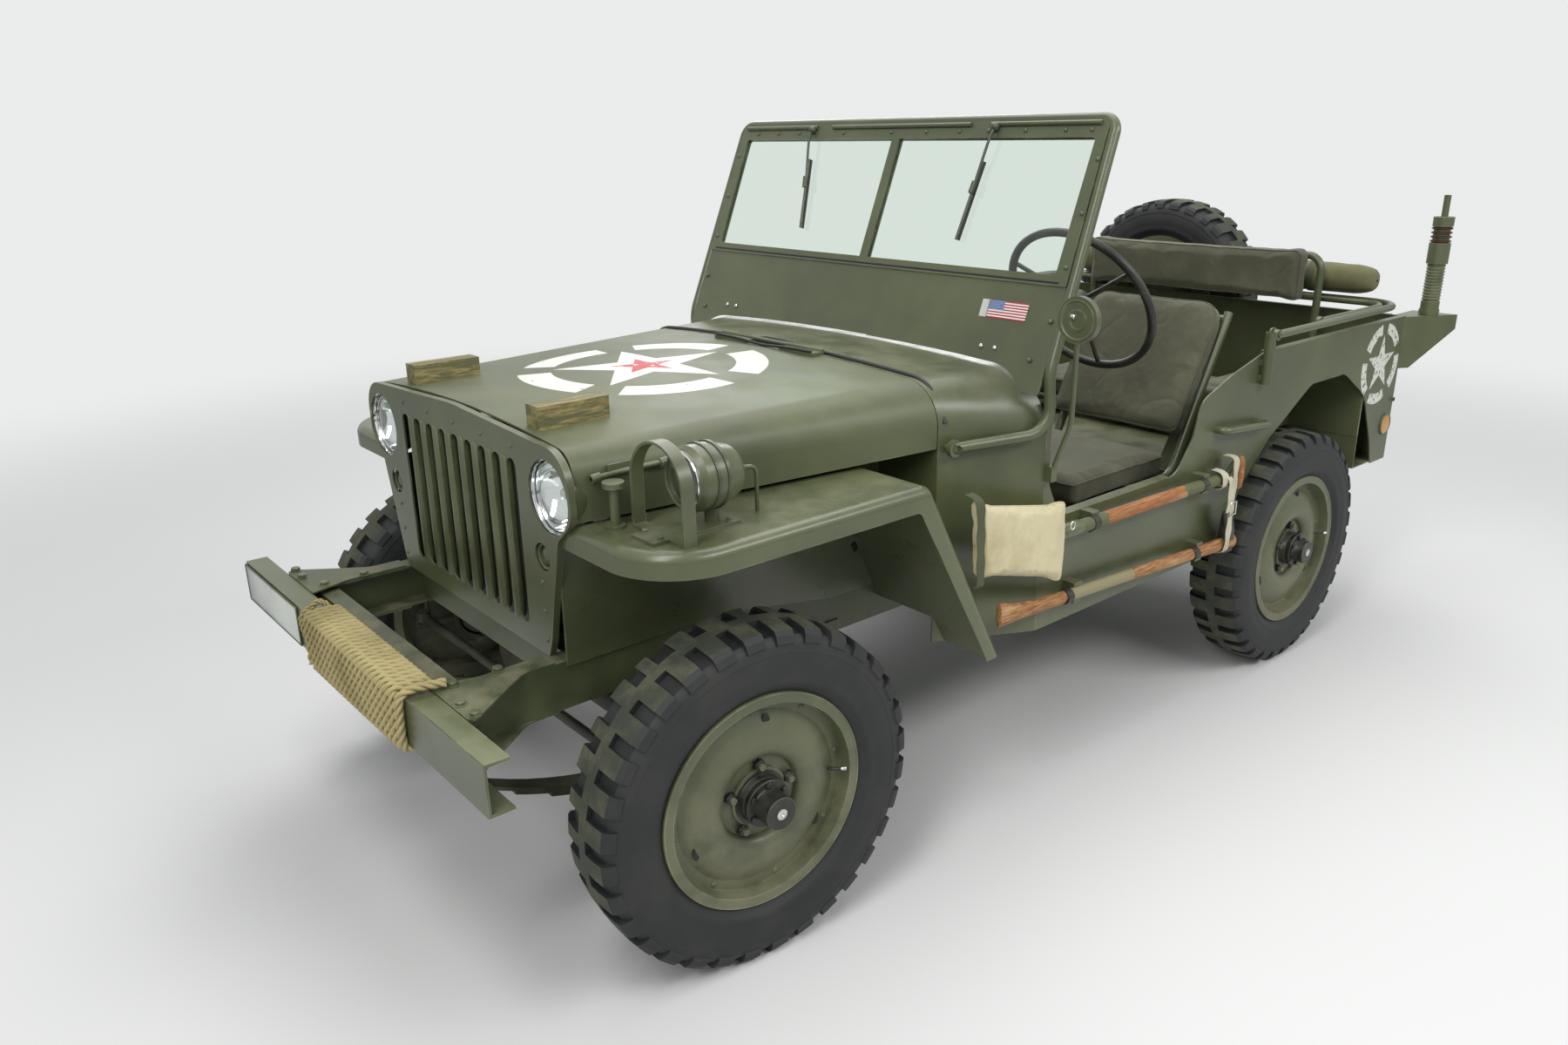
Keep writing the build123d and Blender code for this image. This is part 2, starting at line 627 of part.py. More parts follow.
def floor():
    """Cab floor, toe board, gearbox cover, the step up and the load floor."""
    low = FLOOR_RAIL_TOP
    inner = TUB_HALF - SHEET
    step = WHEEL_HOUSE_FRONT - 6
    front = box((-inner, inner), (HOOD_REAR + 100, step), (low, low + SHEET))
    front += prism("x", -inner, inner, [
        (HOOD_REAR + SHEET, 735), (HOOD_REAR + SHEET, 741),
        (HOOD_REAR + 177, low + SHEET), (HOOD_REAR + 177, low),
        (HOOD_REAR + 170, low),
    ])
    front -= column_part(COLUMN_AT_WALL, COLUMN_RADIUS + 1)
    front &= cowl_solid(SHEET + RUNNING_GAP) + box((-inner, inner), (COWL_REAR, step + SHEET), (0, 1000))
    riser = box((-inner, inner), (step - SHEET, step), (low, REAR_RAIL_TOP + SHEET))
    rear = box((-inner, inner), (step - SHEET, TUB_REAR - SHEET), (REAR_RAIL_TOP, REAR_RAIL_TOP + SHEET))
    for _, side in SIDES:
        well_x = sorted((side * WHEEL_HOUSE_X, side * (inner + 1)))
        rear -= box(well_x, (WHEEL_HOUSE_FRONT, TUB_REAR), (REAR_RAIL_TOP - 1, REAR_RAIL_TOP + SHEET + 1))
    plate = front + riser + rear
    hump = both_sides([(132, low), (96, HUMP_TOP, 30), (0, HUMP_TOP)])
    hollow = both_sides([(132 - SHEET, low - 9), (96 - SHEET, HUMP_TOP - SHEET, 26), (0, HUMP_TOP - SHEET)])
    plate += prism("y", HOOD_REAR + SHEET, HUMP_END, hump)
    plate -= prism("y", HOOD_REAR, HUMP_END - SHEET, hollow)
    return plate


def side_outline():
    """Side view of the tub's side, with the cut-down entrance and the rear wheel arch."""
    door, end, axle = COWL_REAR, WHEEL_HOUSE_FRONT, WHEELBASE
    return [
        (door, SILL_Z), (door, 990), (door + 18, 990, 6), (door + 18, 790, 60), (door + 65, DOOR_Z, 60),
        (end - 285, DOOR_Z, 60), (end - 220, 780, 70), (end - 190, 880, 60), (end - 50, 930, 120),
        (end + 110, TUB_RAIL_Z, 80), (TUB_REAR, TUB_RAIL_Z), (TUB_REAR, TUB_LOW_Z), (axle + 558, TUB_LOW_Z),
        (axle + 528, 580, 90), (axle + 438, 745, 160), (axle + 268, 842, 160), (axle + 78, 842, 160),
        (axle - 152, 712, 150), (axle - 282, 600, 120), (axle - 374, SILL_Z),
    ]


def body_sides():
    """Both sides of the tub from the cowl to the rear panel, with the rail along the top."""
    side = prism("x", TUB_HALF - SHEET, TUB_HALF, side_outline())
    rail_y = (WHEEL_HOUSE_FRONT + 125, TUB_REAR - SHEET)
    side += box((TUB_HALF - 22, TUB_HALF), rail_y, (TUB_RAIL_Z - 18, TUB_RAIL_Z))
    door_y = (COWL_REAR + 80, WHEEL_HOUSE_FRONT - 310)
    side += box((TUB_HALF - 30, TUB_HALF), door_y, (DOOR_Z - 24, DOOR_Z))
    return side, mirrored(side)


def wheel_houses():
    """Covers over the rear wheels, with the tool compartments behind them."""
    inner = TUB_HALF - SHEET
    low = REAR_RAIL_TOP
    roof = WHEEL_HOUSE_TOP
    back = TUB_REAR - SHEET
    front = WHEEL_HOUSE_FRONT
    wall = WHEEL_HOUSE_REAR
    sill = TUB_LOW_Z + SHEET
    outer = [(front, low), (front + 160, roof, 40), (back, roof), (back, sill), (wall, sill), (wall, low)]
    well = [
        (front + 6, low - 200), (front + 6, low + SHEET), (front + 163, roof - SHEET, 36),
        (wall - SHEET, roof - SHEET), (wall - SHEET, low - 200),
    ]
    locker = [
        (wall + SHEET, sill + SHEET), (wall + SHEET, roof - SHEET), (back - SHEET, roof - SHEET),
        (back - SHEET, sill + SHEET),
    ]
    house = prism("x", WHEEL_HOUSE_X, inner, outer)
    house -= prism("x", WHEEL_HOUSE_X + SHEET, inner + 1, well)
    house -= prism("x", WHEEL_HOUSE_X + SHEET, inner + 1, locker)
    return house, mirrored(house)


def rear_panel():
    """Rear wall of the tub with its top rail and the studded bracket that carries the spare wheel."""
    inner = TUB_HALF - SHEET
    panel = box((-inner, inner), (TUB_REAR - SHEET, TUB_REAR), (TUB_LOW_Z, TUB_RAIL_Z))
    panel += box((-inner, ANTENNA_SHELF[0] - SHEET), (TUB_REAR - 1, TUB_REAR + 14),
        (TUB_RAIL_Z - 34, TUB_RAIL_Z))
    x, z = SPARE_PLACE
    face = SPARE_Y + DISC_X - DISC_WALL
    panel += box((x - 90, x + 90), (TUB_REAR - 1, TUB_REAR + 18), (z - 165, TUB_RAIL_Z - 34))
    panel += disc("y", (x, 0, z), STUD_CIRCLE / 2 + 16, TUB_REAR + 14, face)
    for index in range(STUD_COUNT):
        turn = 2 * pi * index / STUD_COUNT
        place = (x + STUD_CIRCLE / 2 * sin(turn), 0, z + STUD_CIRCLE / 2 * cos(turn))
        panel += disc("y", place, STUD_RADIUS, face - 1, face + STUD_LENGTH + DISC_WALL)
    return panel


def column_line(reach):
    """Point of the steering column's axis at a distance down from the steering wheel's middle."""
    slope = radians(STEERING_SLOPE)
    return (STEERING_X, STEERING_HUB[0] - reach * cos(slope), STEERING_HUB[1] - reach * sin(slope))


def column_part(span, radius):
    """Round bar along the steering column's axis between two distances down from the steering wheel."""
    return rod(column_line(span[0]), column_line(span[1]), radius)


def cowl():
    """Sheet cowl with flared sides, firewall and dash, the hood's hinge and the windshield's pins."""
    tunnel = box((-100, 100), (HOOD_REAR - 1, HOOD_REAR + 9), (FLOOR_RAIL_TOP - 1, 640))
    across = (-TUB_HALF, TUB_HALF)
    walls = box(across, (HOOD_REAR, HOOD_REAR + SHEET), (FLOOR_RAIL_TOP, 1100)) - tunnel
    walls += box(across, (COWL_REAR - 10, COWL_REAR - 6), (850, 1100))
    walls -= column_part(COLUMN_AT_WALL, COLUMN_RADIUS + 1)
    walls -= column_part(COLUMN_AT_DASH, COLUMN_RADIUS)
    shell = cowl_solid(0) - (cowl_solid(SHEET) - walls)
    lip = box((35 - TUB_HALF, TUB_HALF - 35), (COWL_REAR - 10, COWL_REAR + 10), (846, 851))
    shell += lip - column_part(COLUMN_AT_DASH, COLUMN_RADIUS)
    pin = disc("x", (0,) + SHIELD_PIVOT, EYE_PIN_RADIUS, cowl_half(SHIELD_PIVOT[0]) - 3, SHIELD_EYE_X + 14)
    split = HINGE_SPLIT - RUNNING_GAP
    hinge = hinge_part((-split, split), 1)
    hinge += disc("x", (0,) + HOOD_HINGE, HINGE_PIN, -HINGE_HALF, HINGE_HALF)
    return shell + pin + mirrored(pin) + hinge


def hood_half(y):
    """Half width of the hood's sides at a place along the car."""
    share = (y - HOOD_FRONT) / (HOOD_REAR - HOOD_GAP - HOOD_FRONT)
    return HOOD_FRONT_HALF + share * (HOOD_REAR_HALF - HOOD_FRONT_HALF)


def fender_solid(inset, extra):
    """Left fender's outer form between the grille and the sill, its band as deep as the lip."""
    top = FENDER_TOP - inset
    depth = FENDER_TOP - FENDER_LIP + extra
    front = FENDER_FRONT + inset
    toe_y, toe_z = FENDER_TOE
    side = [
        (front, top), (FENDER_BEND - inset * 0.6, top, 30), (toe_y - inset, toe_z - extra),
        (toe_y - inset - depth * 0.95, toe_z - extra), (FENDER_BEND - depth * 0.65, top - depth, 20),
        (front, top - depth),
    ]
    outer = FENDER_OUTER - inset
    plan = [(300, front - 1), (outer, front - 1, 150 - inset), (outer, 800), (300, 800)]
    body = prism("x", 300, outer, side) & prism("z", 0, 1000, plan)
    rim = [edge for edge in body.edges() if edge.center().Z > top - 1 and edge.center().X > 420]
    return fillet(rim, FENDER_ROUND - inset)


def fenders():
    """Front fenders with their rear slope down to the sill and the upright splash aprons."""
    shell = fender_solid(0, 0) - fender_solid(SHEET, 60) - box((250, RAIL_OUTER), (-300, 700), (400, 900))
    back = GRILLE_FRONT + GRILLE_DEPTH
    apron = prism("x", RAIL_OUTER, RAIL_OUTER + SHEET, [
        (back, FENDER_TOP - 1), (back, FRONT_RAIL_TOP - 10), (150, FRONT_RAIL_TOP - 10),
        (440, FLOOR_RAIL_TOP - 10), (HOOD_REAR, FLOOR_RAIL_TOP - 10), (HOOD_REAR, FENDER_TOP - 1),
    ])
    left = shell + apron - cowl_solid(0) - prism("y", GRILLE_FRONT, back, grille_outline(0))
    left -= disc("y", (HEADLAMP[0], 0, HEADLAMP[1]), HEADLAMP_RADIUS + 4, GRILLE_FRONT, back + 80)
    right = mirrored(left)
    left -= column_part(COLUMN_AT_WALL, COLUMN_RADIUS + 1)
    return [max(fender.solids(), key=lambda solid: solid.volume) for fender in (left, right)]


def grille_outline(inset):
    """Front view of the grille panel, bulging outwards round the headlamps."""
    half = [
        (332 - inset, FRONT_RAIL_TOP + inset), (346 - inset, 640), (375 - inset, 753), (402 - inset, 858, 20),
        (456 - inset, 905, 50), (452 - inset, 1030 - inset, 70), (0, FRONT_CROWN_Z - inset, 900),
    ]
    return both_sides(half)


def grille():
    """Pressed front panel with upright slots, lamp openings and a folded-back edge."""
    front = GRILLE_FRONT
    panel = prism("y", front, front + GRILLE_DEPTH, grille_outline(0))
    panel -= prism("y", front + SHEET, front + GRILLE_DEPTH + 1, grille_outline(SHEET))
    for index in range(SLOT_COUNT):
        x = (index - (SLOT_COUNT - 1) / 2) * SLOT_PITCH
        half = SLOT_WIDTH / 2
        low, high = SLOT_SPAN
        slot = [(x - half, low, half - 1), (x + half, low, half - 1), (x + half, high, half - 1),
                (x - half, high, half - 1)]
        panel -= prism("y", front - 1, front + SHEET + 1, slot)
    for _, side in SIDES:
        panel -= disc("y", (side * HEADLAMP[0], 0, HEADLAMP[1]), HEADLAMP_RADIUS,
            front - 1, front + SHEET + 1)
        panel -= disc("y", (side * MARKER[0], 0, MARKER[1]), MARKER_RADIUS, front - 1, front + SHEET + 1)
    return panel


def headlamps():
    """Headlamps and marker lamps held against the back of the grille."""
    back = GRILLE_FRONT + SHEET
    lamps = []
    for _, side in SIDES:
        x, z = side * HEADLAMP[0], HEADLAMP[1]
        lamp = disc("y", (x, 0, z), HEADLAMP_RADIUS + 1, back, GRILLE_FRONT + GRILLE_DEPTH)
        lamp += disc("y", (x, 0, z), HEADLAMP_RADIUS - 19, back + 9, back + 70)
        x, z = side * MARKER[0], MARKER[1]
        lamps.append(lamp)
        lamps.append(disc("y", (x, 0, z), MARKER_RADIUS + 2, back, back + 40))
    return lamps


def radiator():
    """Radiator core behind the grille, on the front crossmember."""
    return box((-235, 235), (-208, -150), (598, 990))


def hood():
    """Sheet hood, open at the front and rear, with its half of the hinge."""
    sheet = hood_solid(0, 0) - hood_solid(SHEET, 40)
    for _, side in SIDES:
        span = sorted((side * HINGE_SPLIT, side * HINGE_HALF))
        sheet += hinge_part(span, -1)
    bore = HINGE_PIN + RUNNING_GAP
    return sheet - disc("x", (0,) + HOOD_HINGE, bore, -HINGE_HALF - 1, HINGE_HALF + 1)


def hinge_part(span, side):
    """Barrel and leaf of the hood's hinge: side -1 lies on the hood, 1 on the cowl."""
    y, z = HOOD_HINGE
    barrel = disc("x", (0, y, z), HINGE_RADIUS, span[0], span[1])
    leaf_y = sorted((y + side * 2, y + side * 30))
    return barrel + box(span, leaf_y, (z - HINGE_RADIUS - 8, z - 1))


def hood_top(x, y):
    """Height of the hood's crowned top at a place."""
    share = (y - HOOD_FRONT) / (HOOD_REAR - HOOD_GAP - HOOD_FRONT)
    crown = FRONT_CROWN_Z + share * (CROWN_Z - FRONT_CROWN_Z)
    edge = FRONT_CORNER_Z + share * (COWL_CORNER_Z - FRONT_CORNER_Z)
    half = HOOD_FRONT_HALF + share * (HOOD_REAR_HALF - HOOD_FRONT_HALF)
    return crown - (crown - edge) * (x / half) ** 2


def hood_blocks():
    """Wooden blocks on the hood that the folded windshield lies on."""
    blocks = []
    for _, side in SIDES:
        x = side * BLOCK_X
        low = hood_top(abs(x) - BLOCK_WIDTH / 2, BLOCK_SPAN[0]) - 1
        block = box((x - BLOCK_WIDTH / 2, x + BLOCK_WIDTH / 2), BLOCK_SPAN, (low - 20, low + BLOCK_HEIGHT))
        block -= hood_solid(0, 0)
        blocks.append(max(block.solids(), key=lambda solid: solid.volume))
    return blocks


def shield_edge(along):
    """Half width of the windshield's flat parts, which reach into the tube at a place up the slope."""
    knee_share = 1 - along / SHIELD_TOP
    return SHIELD_TOP_X + knee_share * (SHIELD_KNEE_X - SHIELD_TOP_X) - SHIELD_TUBE + 3


def shield_panel(low, high, depth, thickness):
    """Plate from one tube leg to the other between two places up the slope."""
    half = [(shield_edge(low), low), (shield_edge(high), high)]
    corners = half + [(-x, along) for x, along in reversed(half)]
    return shield_plate(corners, depth, thickness)


def windshield_frame():
    """Bent tube with its hinge eyes, the lower panel and the bars round both panes."""
    corner = shield_point(SHIELD_TOP_X, SHIELD_TOP, 14)
    knee = shield_point(SHIELD_KNEE_X, 10, 14)
    half = [(SHIELD_EYE_X + 6,) + SHIELD_PIVOT, SHIELD_HIP, knee, corner]
    points = half + [(-x, y, z) for x, y, z in reversed(half)]
    frame = tube(points, SHIELD_TUBE, [60, 120, 34, 34, 120, 60])
    panel = shield_panel(SHIELD_SKIRT, GLASS_LOW, 6, SHEET) - cowl_solid(-MOVING_GAP)
    frame += max(panel.solids(), key=lambda solid: solid.volume)
    pane = [(-PANE_X, GLASS_LOW + 12, 8), (PANE_X, GLASS_LOW + 12, 8), (PANE_X, GLASS_HIGH - 12, 8),
            (-PANE_X, GLASS_HIGH - 12, 8)]
    bars = shield_panel(GLASS_LOW - 12, SHIELD_TOP - 4, 2, 18) - shield_plate(pane, 1, 30)
    bars += shield_plate([(-13, GLASS_LOW), (13, GLASS_LOW), (13, GLASS_HIGH), (-13, GLASS_HIGH)], 2, 18)
    groove = glass_plate(1)
    bars -= groove + mirrored(groove)
    frame += bars
    for _, side in SIDES:
        low, high = sorted((side * SHIELD_EYE_X, side * (SHIELD_EYE_X + 12)))
        frame += disc("x", (0,) + SHIELD_PIVOT, EYE_RADIUS - 1, low, high)
        frame -= disc("x", (0,) + SHIELD_PIVOT, EYE_PIN_RADIUS + RUNNING_GAP, low - 30, high + 30)
    return frame


def glass_plate(grow):
    """The left pane, or with grow set the groove it is seated in."""
    edge = grow
    outer, inner = PANE_X + 5 + edge, 8 - edge
    corners = [(inner, GLASS_LOW + 7 - edge), (outer, GLASS_LOW + 7 - edge), (outer, GLASS_HIGH - 7 + edge),
               (inner, GLASS_HIGH - 7 + edge)]
    return shield_plate(corners, 8 - GLASS_FIT * grow, GLASS_WALL + 2 * GLASS_FIT * grow)


def windshield_glass():
    """Two panes seated in the bars' grooves."""
    pane = glass_plate(0)
    return pane, mirrored(pane)


def front_bumper():
    """Channel bumper on the ends of the frame rails."""
    low, high = FRONT_RAIL_TOP - RAIL_DEPTH + 2, FRONT_RAIL_TOP
    back = FRONT_Y + BUMPER_DEPTH
    bar = box((-BUMPER_HALF, BUMPER_HALF), (FRONT_Y, back), (low, high))
    inside = (low + RAIL_WALL, high - RAIL_WALL)
    return bar - box((-BUMPER_HALF - 1, BUMPER_HALF + 1), (FRONT_Y + RAIL_WALL, back + 1), inside)


def bumper_rope():
    """Rope wound round the bumper, as the closed outer form of its turns."""
    low, high = FRONT_RAIL_TOP - RAIL_DEPTH + 2, FRONT_RAIL_TOP
    back = FRONT_Y + BUMPER_DEPTH
    depth = (FRONT_Y - ROPE_DIAMETER, back + ROPE_DIAMETER)
    turns = box(ROPE_SPAN, depth, (low - ROPE_DIAMETER, high + ROPE_DIAMETER))
    turns = fillet(turns.edges().filter_by(Axis.X), ROPE_DIAMETER * 0.9)
    gap = RUNNING_GAP
    turns -= box((ROPE_SPAN[0] - 1, ROPE_SPAN[1] + 1), (FRONT_Y - gap, back + gap), (low - gap, high + gap))
    return turns


def controls():
    """Steering column and the gear, transfer and parking brake levers."""
    column = column_part((STEERING_HUB_LOW + RUNNING_GAP, COLUMN_LENGTH), COLUMN_RADIUS)
    levers = []
    for x, place, lean, height in LEVERS:
        y = HUMP_END - place
        top = (x, y + lean, HUMP_TOP + height)
        lever = tube([(x, y, HUMP_TOP), (x, y, HUMP_TOP + 50), top], 7, [60])
        levers.append(lever + Pos(*top) * Sphere(17))
    return [column] + levers


def steering_wheel():
    """Rim, three spokes and the hub on top of the column."""
    rim = Torus(STEERING_RADIUS - 11, 11)
    wheel = Pos(0, 0, 8) * rim
    wheel += disc("z", (0, 0, 0), 30, -STEERING_HUB_LOW, 17)
    for index in range(3):
        wheel += Rot(0, 0, 90 + 120 * index) * rod((20, 0, 6), (STEERING_RADIUS - 12, 0, 8), 6)
    plane = Plane(origin=column_line(0), x_dir=(1, 0, 0),
        z_dir=Vector(*column_line(-1)) - Vector(*column_line(0)))
    wheel = plane * wheel
    return wheel


def seat_back(along, behind):
    """Side-view point of a front seat's back: up its rear face and behind it."""
    low, high = SEAT_BACK
    length = sqrt((high[0] - low[0]) ** 2 + (high[1] - low[1]) ** 2)
    up = ((high[0] - low[0]) / length, (high[1] - low[1]) / length)
    return (low[0] + along * up[0] + behind * up[1], low[1] + along * up[1] - behind * up[0])


def seat_frame(x_low, x_high):
    """Tubular frame of one front seat: side loops from the feet over the back, with cross tubes."""
    inset = FRAME_TUBE + 6
    base_z = SEAT_TOP - SEAT_CUSHION - FRAME_TUBE - RUNNING_GAP
    foot = FLOOR_RAIL_TOP + SHEET + RUNNING_GAP
    behind = FRAME_TUBE + RUNNING_GAP
    top = seat_back(SEAT_BACK_LENGTH - 20, behind)
    slope = (top[0] - seat_back(0, behind)[0]) / (top[1] - seat_back(0, behind)[1])
    knee_y = top[0] - (top[1] - base_z) * slope
    frame = None
    for x in (x_low + inset, x_high - inset):
        loop = tube([
            (x,) + SEAT_HINGE, (x, SEAT_FRONT + 16, base_z), (x, knee_y, base_z),
            (x,) + top], FRAME_TUBE, [20, 60])
        loop += rod((x, knee_y - 40, base_z), (x, knee_y - 40, foot), FRAME_TUBE)
        loop += disc("x", (0,) + SEAT_HINGE, FRAME_TUBE + 4, x - 10, x + 10)
        loop -= disc("x", (0,) + SEAT_HINGE, SEAT_PIN_RADIUS + RUNNING_GAP, x - 20, x + 20)
        frame = loop if frame is None else frame + loop
    bar_top = seat_back(SEAT_BACK_LENGTH - 40, behind)
    for y, z in ((SEAT_FRONT + 60, base_z), (knee_y - 70, base_z), bar_top):
        frame += disc("x", (0, y, z), FRAME_TUBE - 1, x_low + inset, x_high - inset)
    return frame


def seat_cushions(x_low, x_high):
    """Seat and back cushions, plain."""
    base = box((x_low, x_high), (SEAT_FRONT, SEAT_REAR), (SEAT_TOP - SEAT_CUSHION, SEAT_TOP))
    base = fillet(base.edges(), 16)
    low, high = SEAT_BACK
    lean = atan2(high[0] - low[0], high[1] - low[1])
    back = box((x_low, x_high), (-SEAT_BACK_CUSHION, 0), (0, SEAT_BACK_LENGTH))
    back = fillet(back.edges(), 16)
    back = Pos(0, low[0], low[1]) * (Rot(-degrees(lean), 0, 0) * back)
    return base, back


def seat_brackets():
    """Floor brackets with the pins that the front seats' feet turn on."""
    brackets = []
    inset = FRAME_TUBE + 6
    y, z = SEAT_HINGE
    for _, side in SIDES:
        for x in (side * (SEAT_INNER + inset), side * (SEAT_OUTER - inset)):
            bracket = disc("x", (0, y, z), SEAT_PIN_RADIUS, x - 18, x + 18)
            for low in (x - 18, x + 13):
                bracket += box((low, low + 5), (y - 14, y + 14), (FLOOR_RAIL_TOP + SHEET, z + 12))
            brackets.append(bracket)
    return brackets


def fuel_tank():
    """Flat fuel tank on the floor under the driver's seat."""
    top = SEAT_TOP - SEAT_CUSHION - 2 * FRAME_TUBE - 8
    tank = box((126, 472), (SEAT_FRONT + 50, SEAT_REAR - 94), (FLOOR_RAIL_TOP + SHEET, top))
    return fillet(tank.edges().filter_by(Axis.Z), 30)


def rear_seat_base():
    """Frame under the folding rear seat, with the eyes that it turns on."""
    half = WHEEL_HOUSE_X - 26
    y, z = REAR_SEAT_HINGE
    front = REAR_SEAT_FRONT
    frame = tube([(half, y, z), (half, front, z), (-half, front, z), (-half, y, z)], FRAME_TUBE, [50, 50])
    for _, side in SIDES:
        x_low, x_high = sorted((side * (half - 10), side * (half + 10)))
        frame += disc("x", (0, y, z), FRAME_TUBE + 4, x_low, x_high)
        frame -= disc("x", (0, y, z), SEAT_PIN_RADIUS + RUNNING_GAP, x_low - 9, x_high + 9)
    for foot_x in (-half + 90, half - 90):
        frame += rod((foot_x, front, z + 2),
            (foot_x, front, REAR_RAIL_TOP + SHEET + RUNNING_GAP), FRAME_TUBE - 3)
    return frame


def rear_seat_cushion():
    """Cushion of the folding rear seat, plain."""
    y, z = REAR_SEAT_HINGE
    half = WHEEL_HOUSE_X - 26 - 20
    low = z + FRAME_TUBE + RUNNING_GAP
    cushion = box((-half, half), (REAR_SEAT_FRONT - 20, y - 14), (low, low + SEAT_CUSHION))
    return fillet(cushion.edges(), 16)


def rear_seat_pins():
    """Brackets on the wheel houses with the pins of the rear seat."""
    y, z = REAR_SEAT_HINGE
    pin = disc("x", (0, y, z), SEAT_PIN_RADIUS, WHEEL_HOUSE_X - 38, WHEEL_HOUSE_X)
    pin += disc("x", (0, y, z), 20, WHEEL_HOUSE_X - 6, WHEEL_HOUSE_X)
    return pin, mirrored(pin)


def rear_seat_rail():
    """Tube over the wheel houses that carries the rear seat's back."""
    x, y = REAR_RAIL_X, REAR_RAIL_Y
    low, high = WHEEL_HOUSE_TOP, REAR_BACK_TOP - 34
    rail = tube([(x, y, low), (x, y, high), (-x, y, high), (-x, y, low)], FRAME_TUBE, [46, 46])
    return rail + disc("x", (0, y, REAR_BACK_LOW + 20), FRAME_TUBE - 2, -x, x)


def rear_seat_back():
    """Back cushion of the rear seat, plain."""
    high_y = REAR_RAIL_Y - FRAME_TUBE - RUNNING_GAP
    half = REAR_RAIL_X - FRAME_TUBE - 4
    cushion = box((-half, half), (high_y - 72, high_y), (REAR_BACK_LOW, REAR_BACK_TOP))
    return fillet(cushion.edges(), 18)


def front_bow():
    """Main bow of the folding top, stowed round the back of the tub."""
    y, z = BOW_PIVOT
    rear = y + BOW_REACH
    bow = tube([(BOW_X, y, z), (BOW_X, rear, z), (-BOW_X, rear, z), (-BOW_X, y, z)], BOW_TUBE, [110, 110])
    for _, side in SIDES:
        x_low, x_high = sorted((side * (BOW_X - 6), side * (BOW_X + 6)))
        bow += disc("x", (0, y, z), BOW_TUBE + 4, x_low, x_high)
        bow -= disc("x", (0, y, z), SEAT_PIN_RADIUS + RUNNING_GAP, x_low - 9, x_high + 9)
        pin = sorted((side * BOW_X, side * (REAR_BOW_X - 9)))
        bow += disc("x", (0, y + REAR_BOW_PIVOT, z), 5, pin[0], pin[1])
    return bow


def rear_bow():
    """Second bow of the folding top, turning on the main bow's legs."""
    y, z = BOW_PIVOT[0] + REAR_BOW_PIVOT, BOW_PIVOT[1]
    rear = y + REAR_BOW_REACH
    x = REAR_BOW_X
    bow = tube([(x, y, z), (x, rear, z), (-x, rear, z), (-x, y, z)], BOW_TUBE - 1, [90, 90])
    for _, side in SIDES:
        x_low, x_high = sorted((side * (x - 6), side * (x + 6)))
        bow += disc("x", (0, y, z), BOW_TUBE + 3, x_low, x_high)
        bow -= disc("x", (0, y, z), 5 + RUNNING_GAP, x_low - 9, x_high + 9)
    return bow


def canvas_roll():
    """Rolled canvas top tied along the main bow's cross tube, plain."""
    y = BOW_PIVOT[0] + BOW_REACH
    z = BOW_PIVOT[1] + BOW_TUBE + ROLL_RADIUS + RUNNING_GAP
    roll = disc("x", (0, y, z), ROLL_RADIUS, -ROLL_HALF, ROLL_HALF)
    return fillet(roll.edges().filter_by(GeomType.CIRCLE), 20)


def body_fittings():
    """Bow brackets and sockets, grab handles and the rest for the hood on the left fender."""
    y, z = BOW_PIVOT
    inner = TUB_HALF - SHEET
    plate = prism("x", inner - 5, inner, [
        (y - 22, TUB_RAIL_Z), (y - 16, z + 18, 12), (y + 16, z + 18, 12), (y + 22, TUB_RAIL_Z),
    ])
    plate += disc("x", (0, y, z), SEAT_PIN_RADIUS, inner - 5, BOW_X + 10)
    low, high = SOCKET_SPAN
    place = (TUB_HALF + SOCKET_RADIUS + 2, y - 52, 0)
    socket = disc("z", place, SOCKET_RADIUS, low, high)
    for clip_z in (low + 10, TUB_RAIL_Z - 34):
        socket += box((TUB_HALF, place[0]), (place[1] - 10, place[1] + 10), (clip_z, clip_z + 16))
    socket -= disc("z", place, SOCKET_RADIUS - 2.5, low + 28, high + 1)
    out = TUB_HALF + 30
    start, end = WHEEL_HOUSE_FRONT - 105, WHEEL_HOUSE_FRONT + 125
    side_handle = tube(
        [(TUB_HALF, start, 790), (out, start, 790), (out, end, 770), (TUB_HALF, end, 770)], 10, [18, 18])
    back = TUB_REAR + 52
    start, end = TUB_HALF - 140, TUB_HALF - 68
    rear_handle = tube(
        [(start, TUB_REAR, 800), (start, back, 800), (end, back, 800), (end, TUB_REAR, 800)], 10, [24, 24])
    left = [plate, socket, side_handle]
    x, y = HOOD_REST
    rest = disc("z", (x, y, 0), 9, FENDER_TOP, FENDER_TOP + 78)
    rest += disc("z", (x, y, 0), 20, FENDER_TOP + 76, FENDER_TOP + 86)
    rest += disc("z", (x, y, 0), 18, FENDER_TOP, FENDER_TOP + 6)
    return left + [mirrored(shape) for shape in left] + [rear_handle, rest]


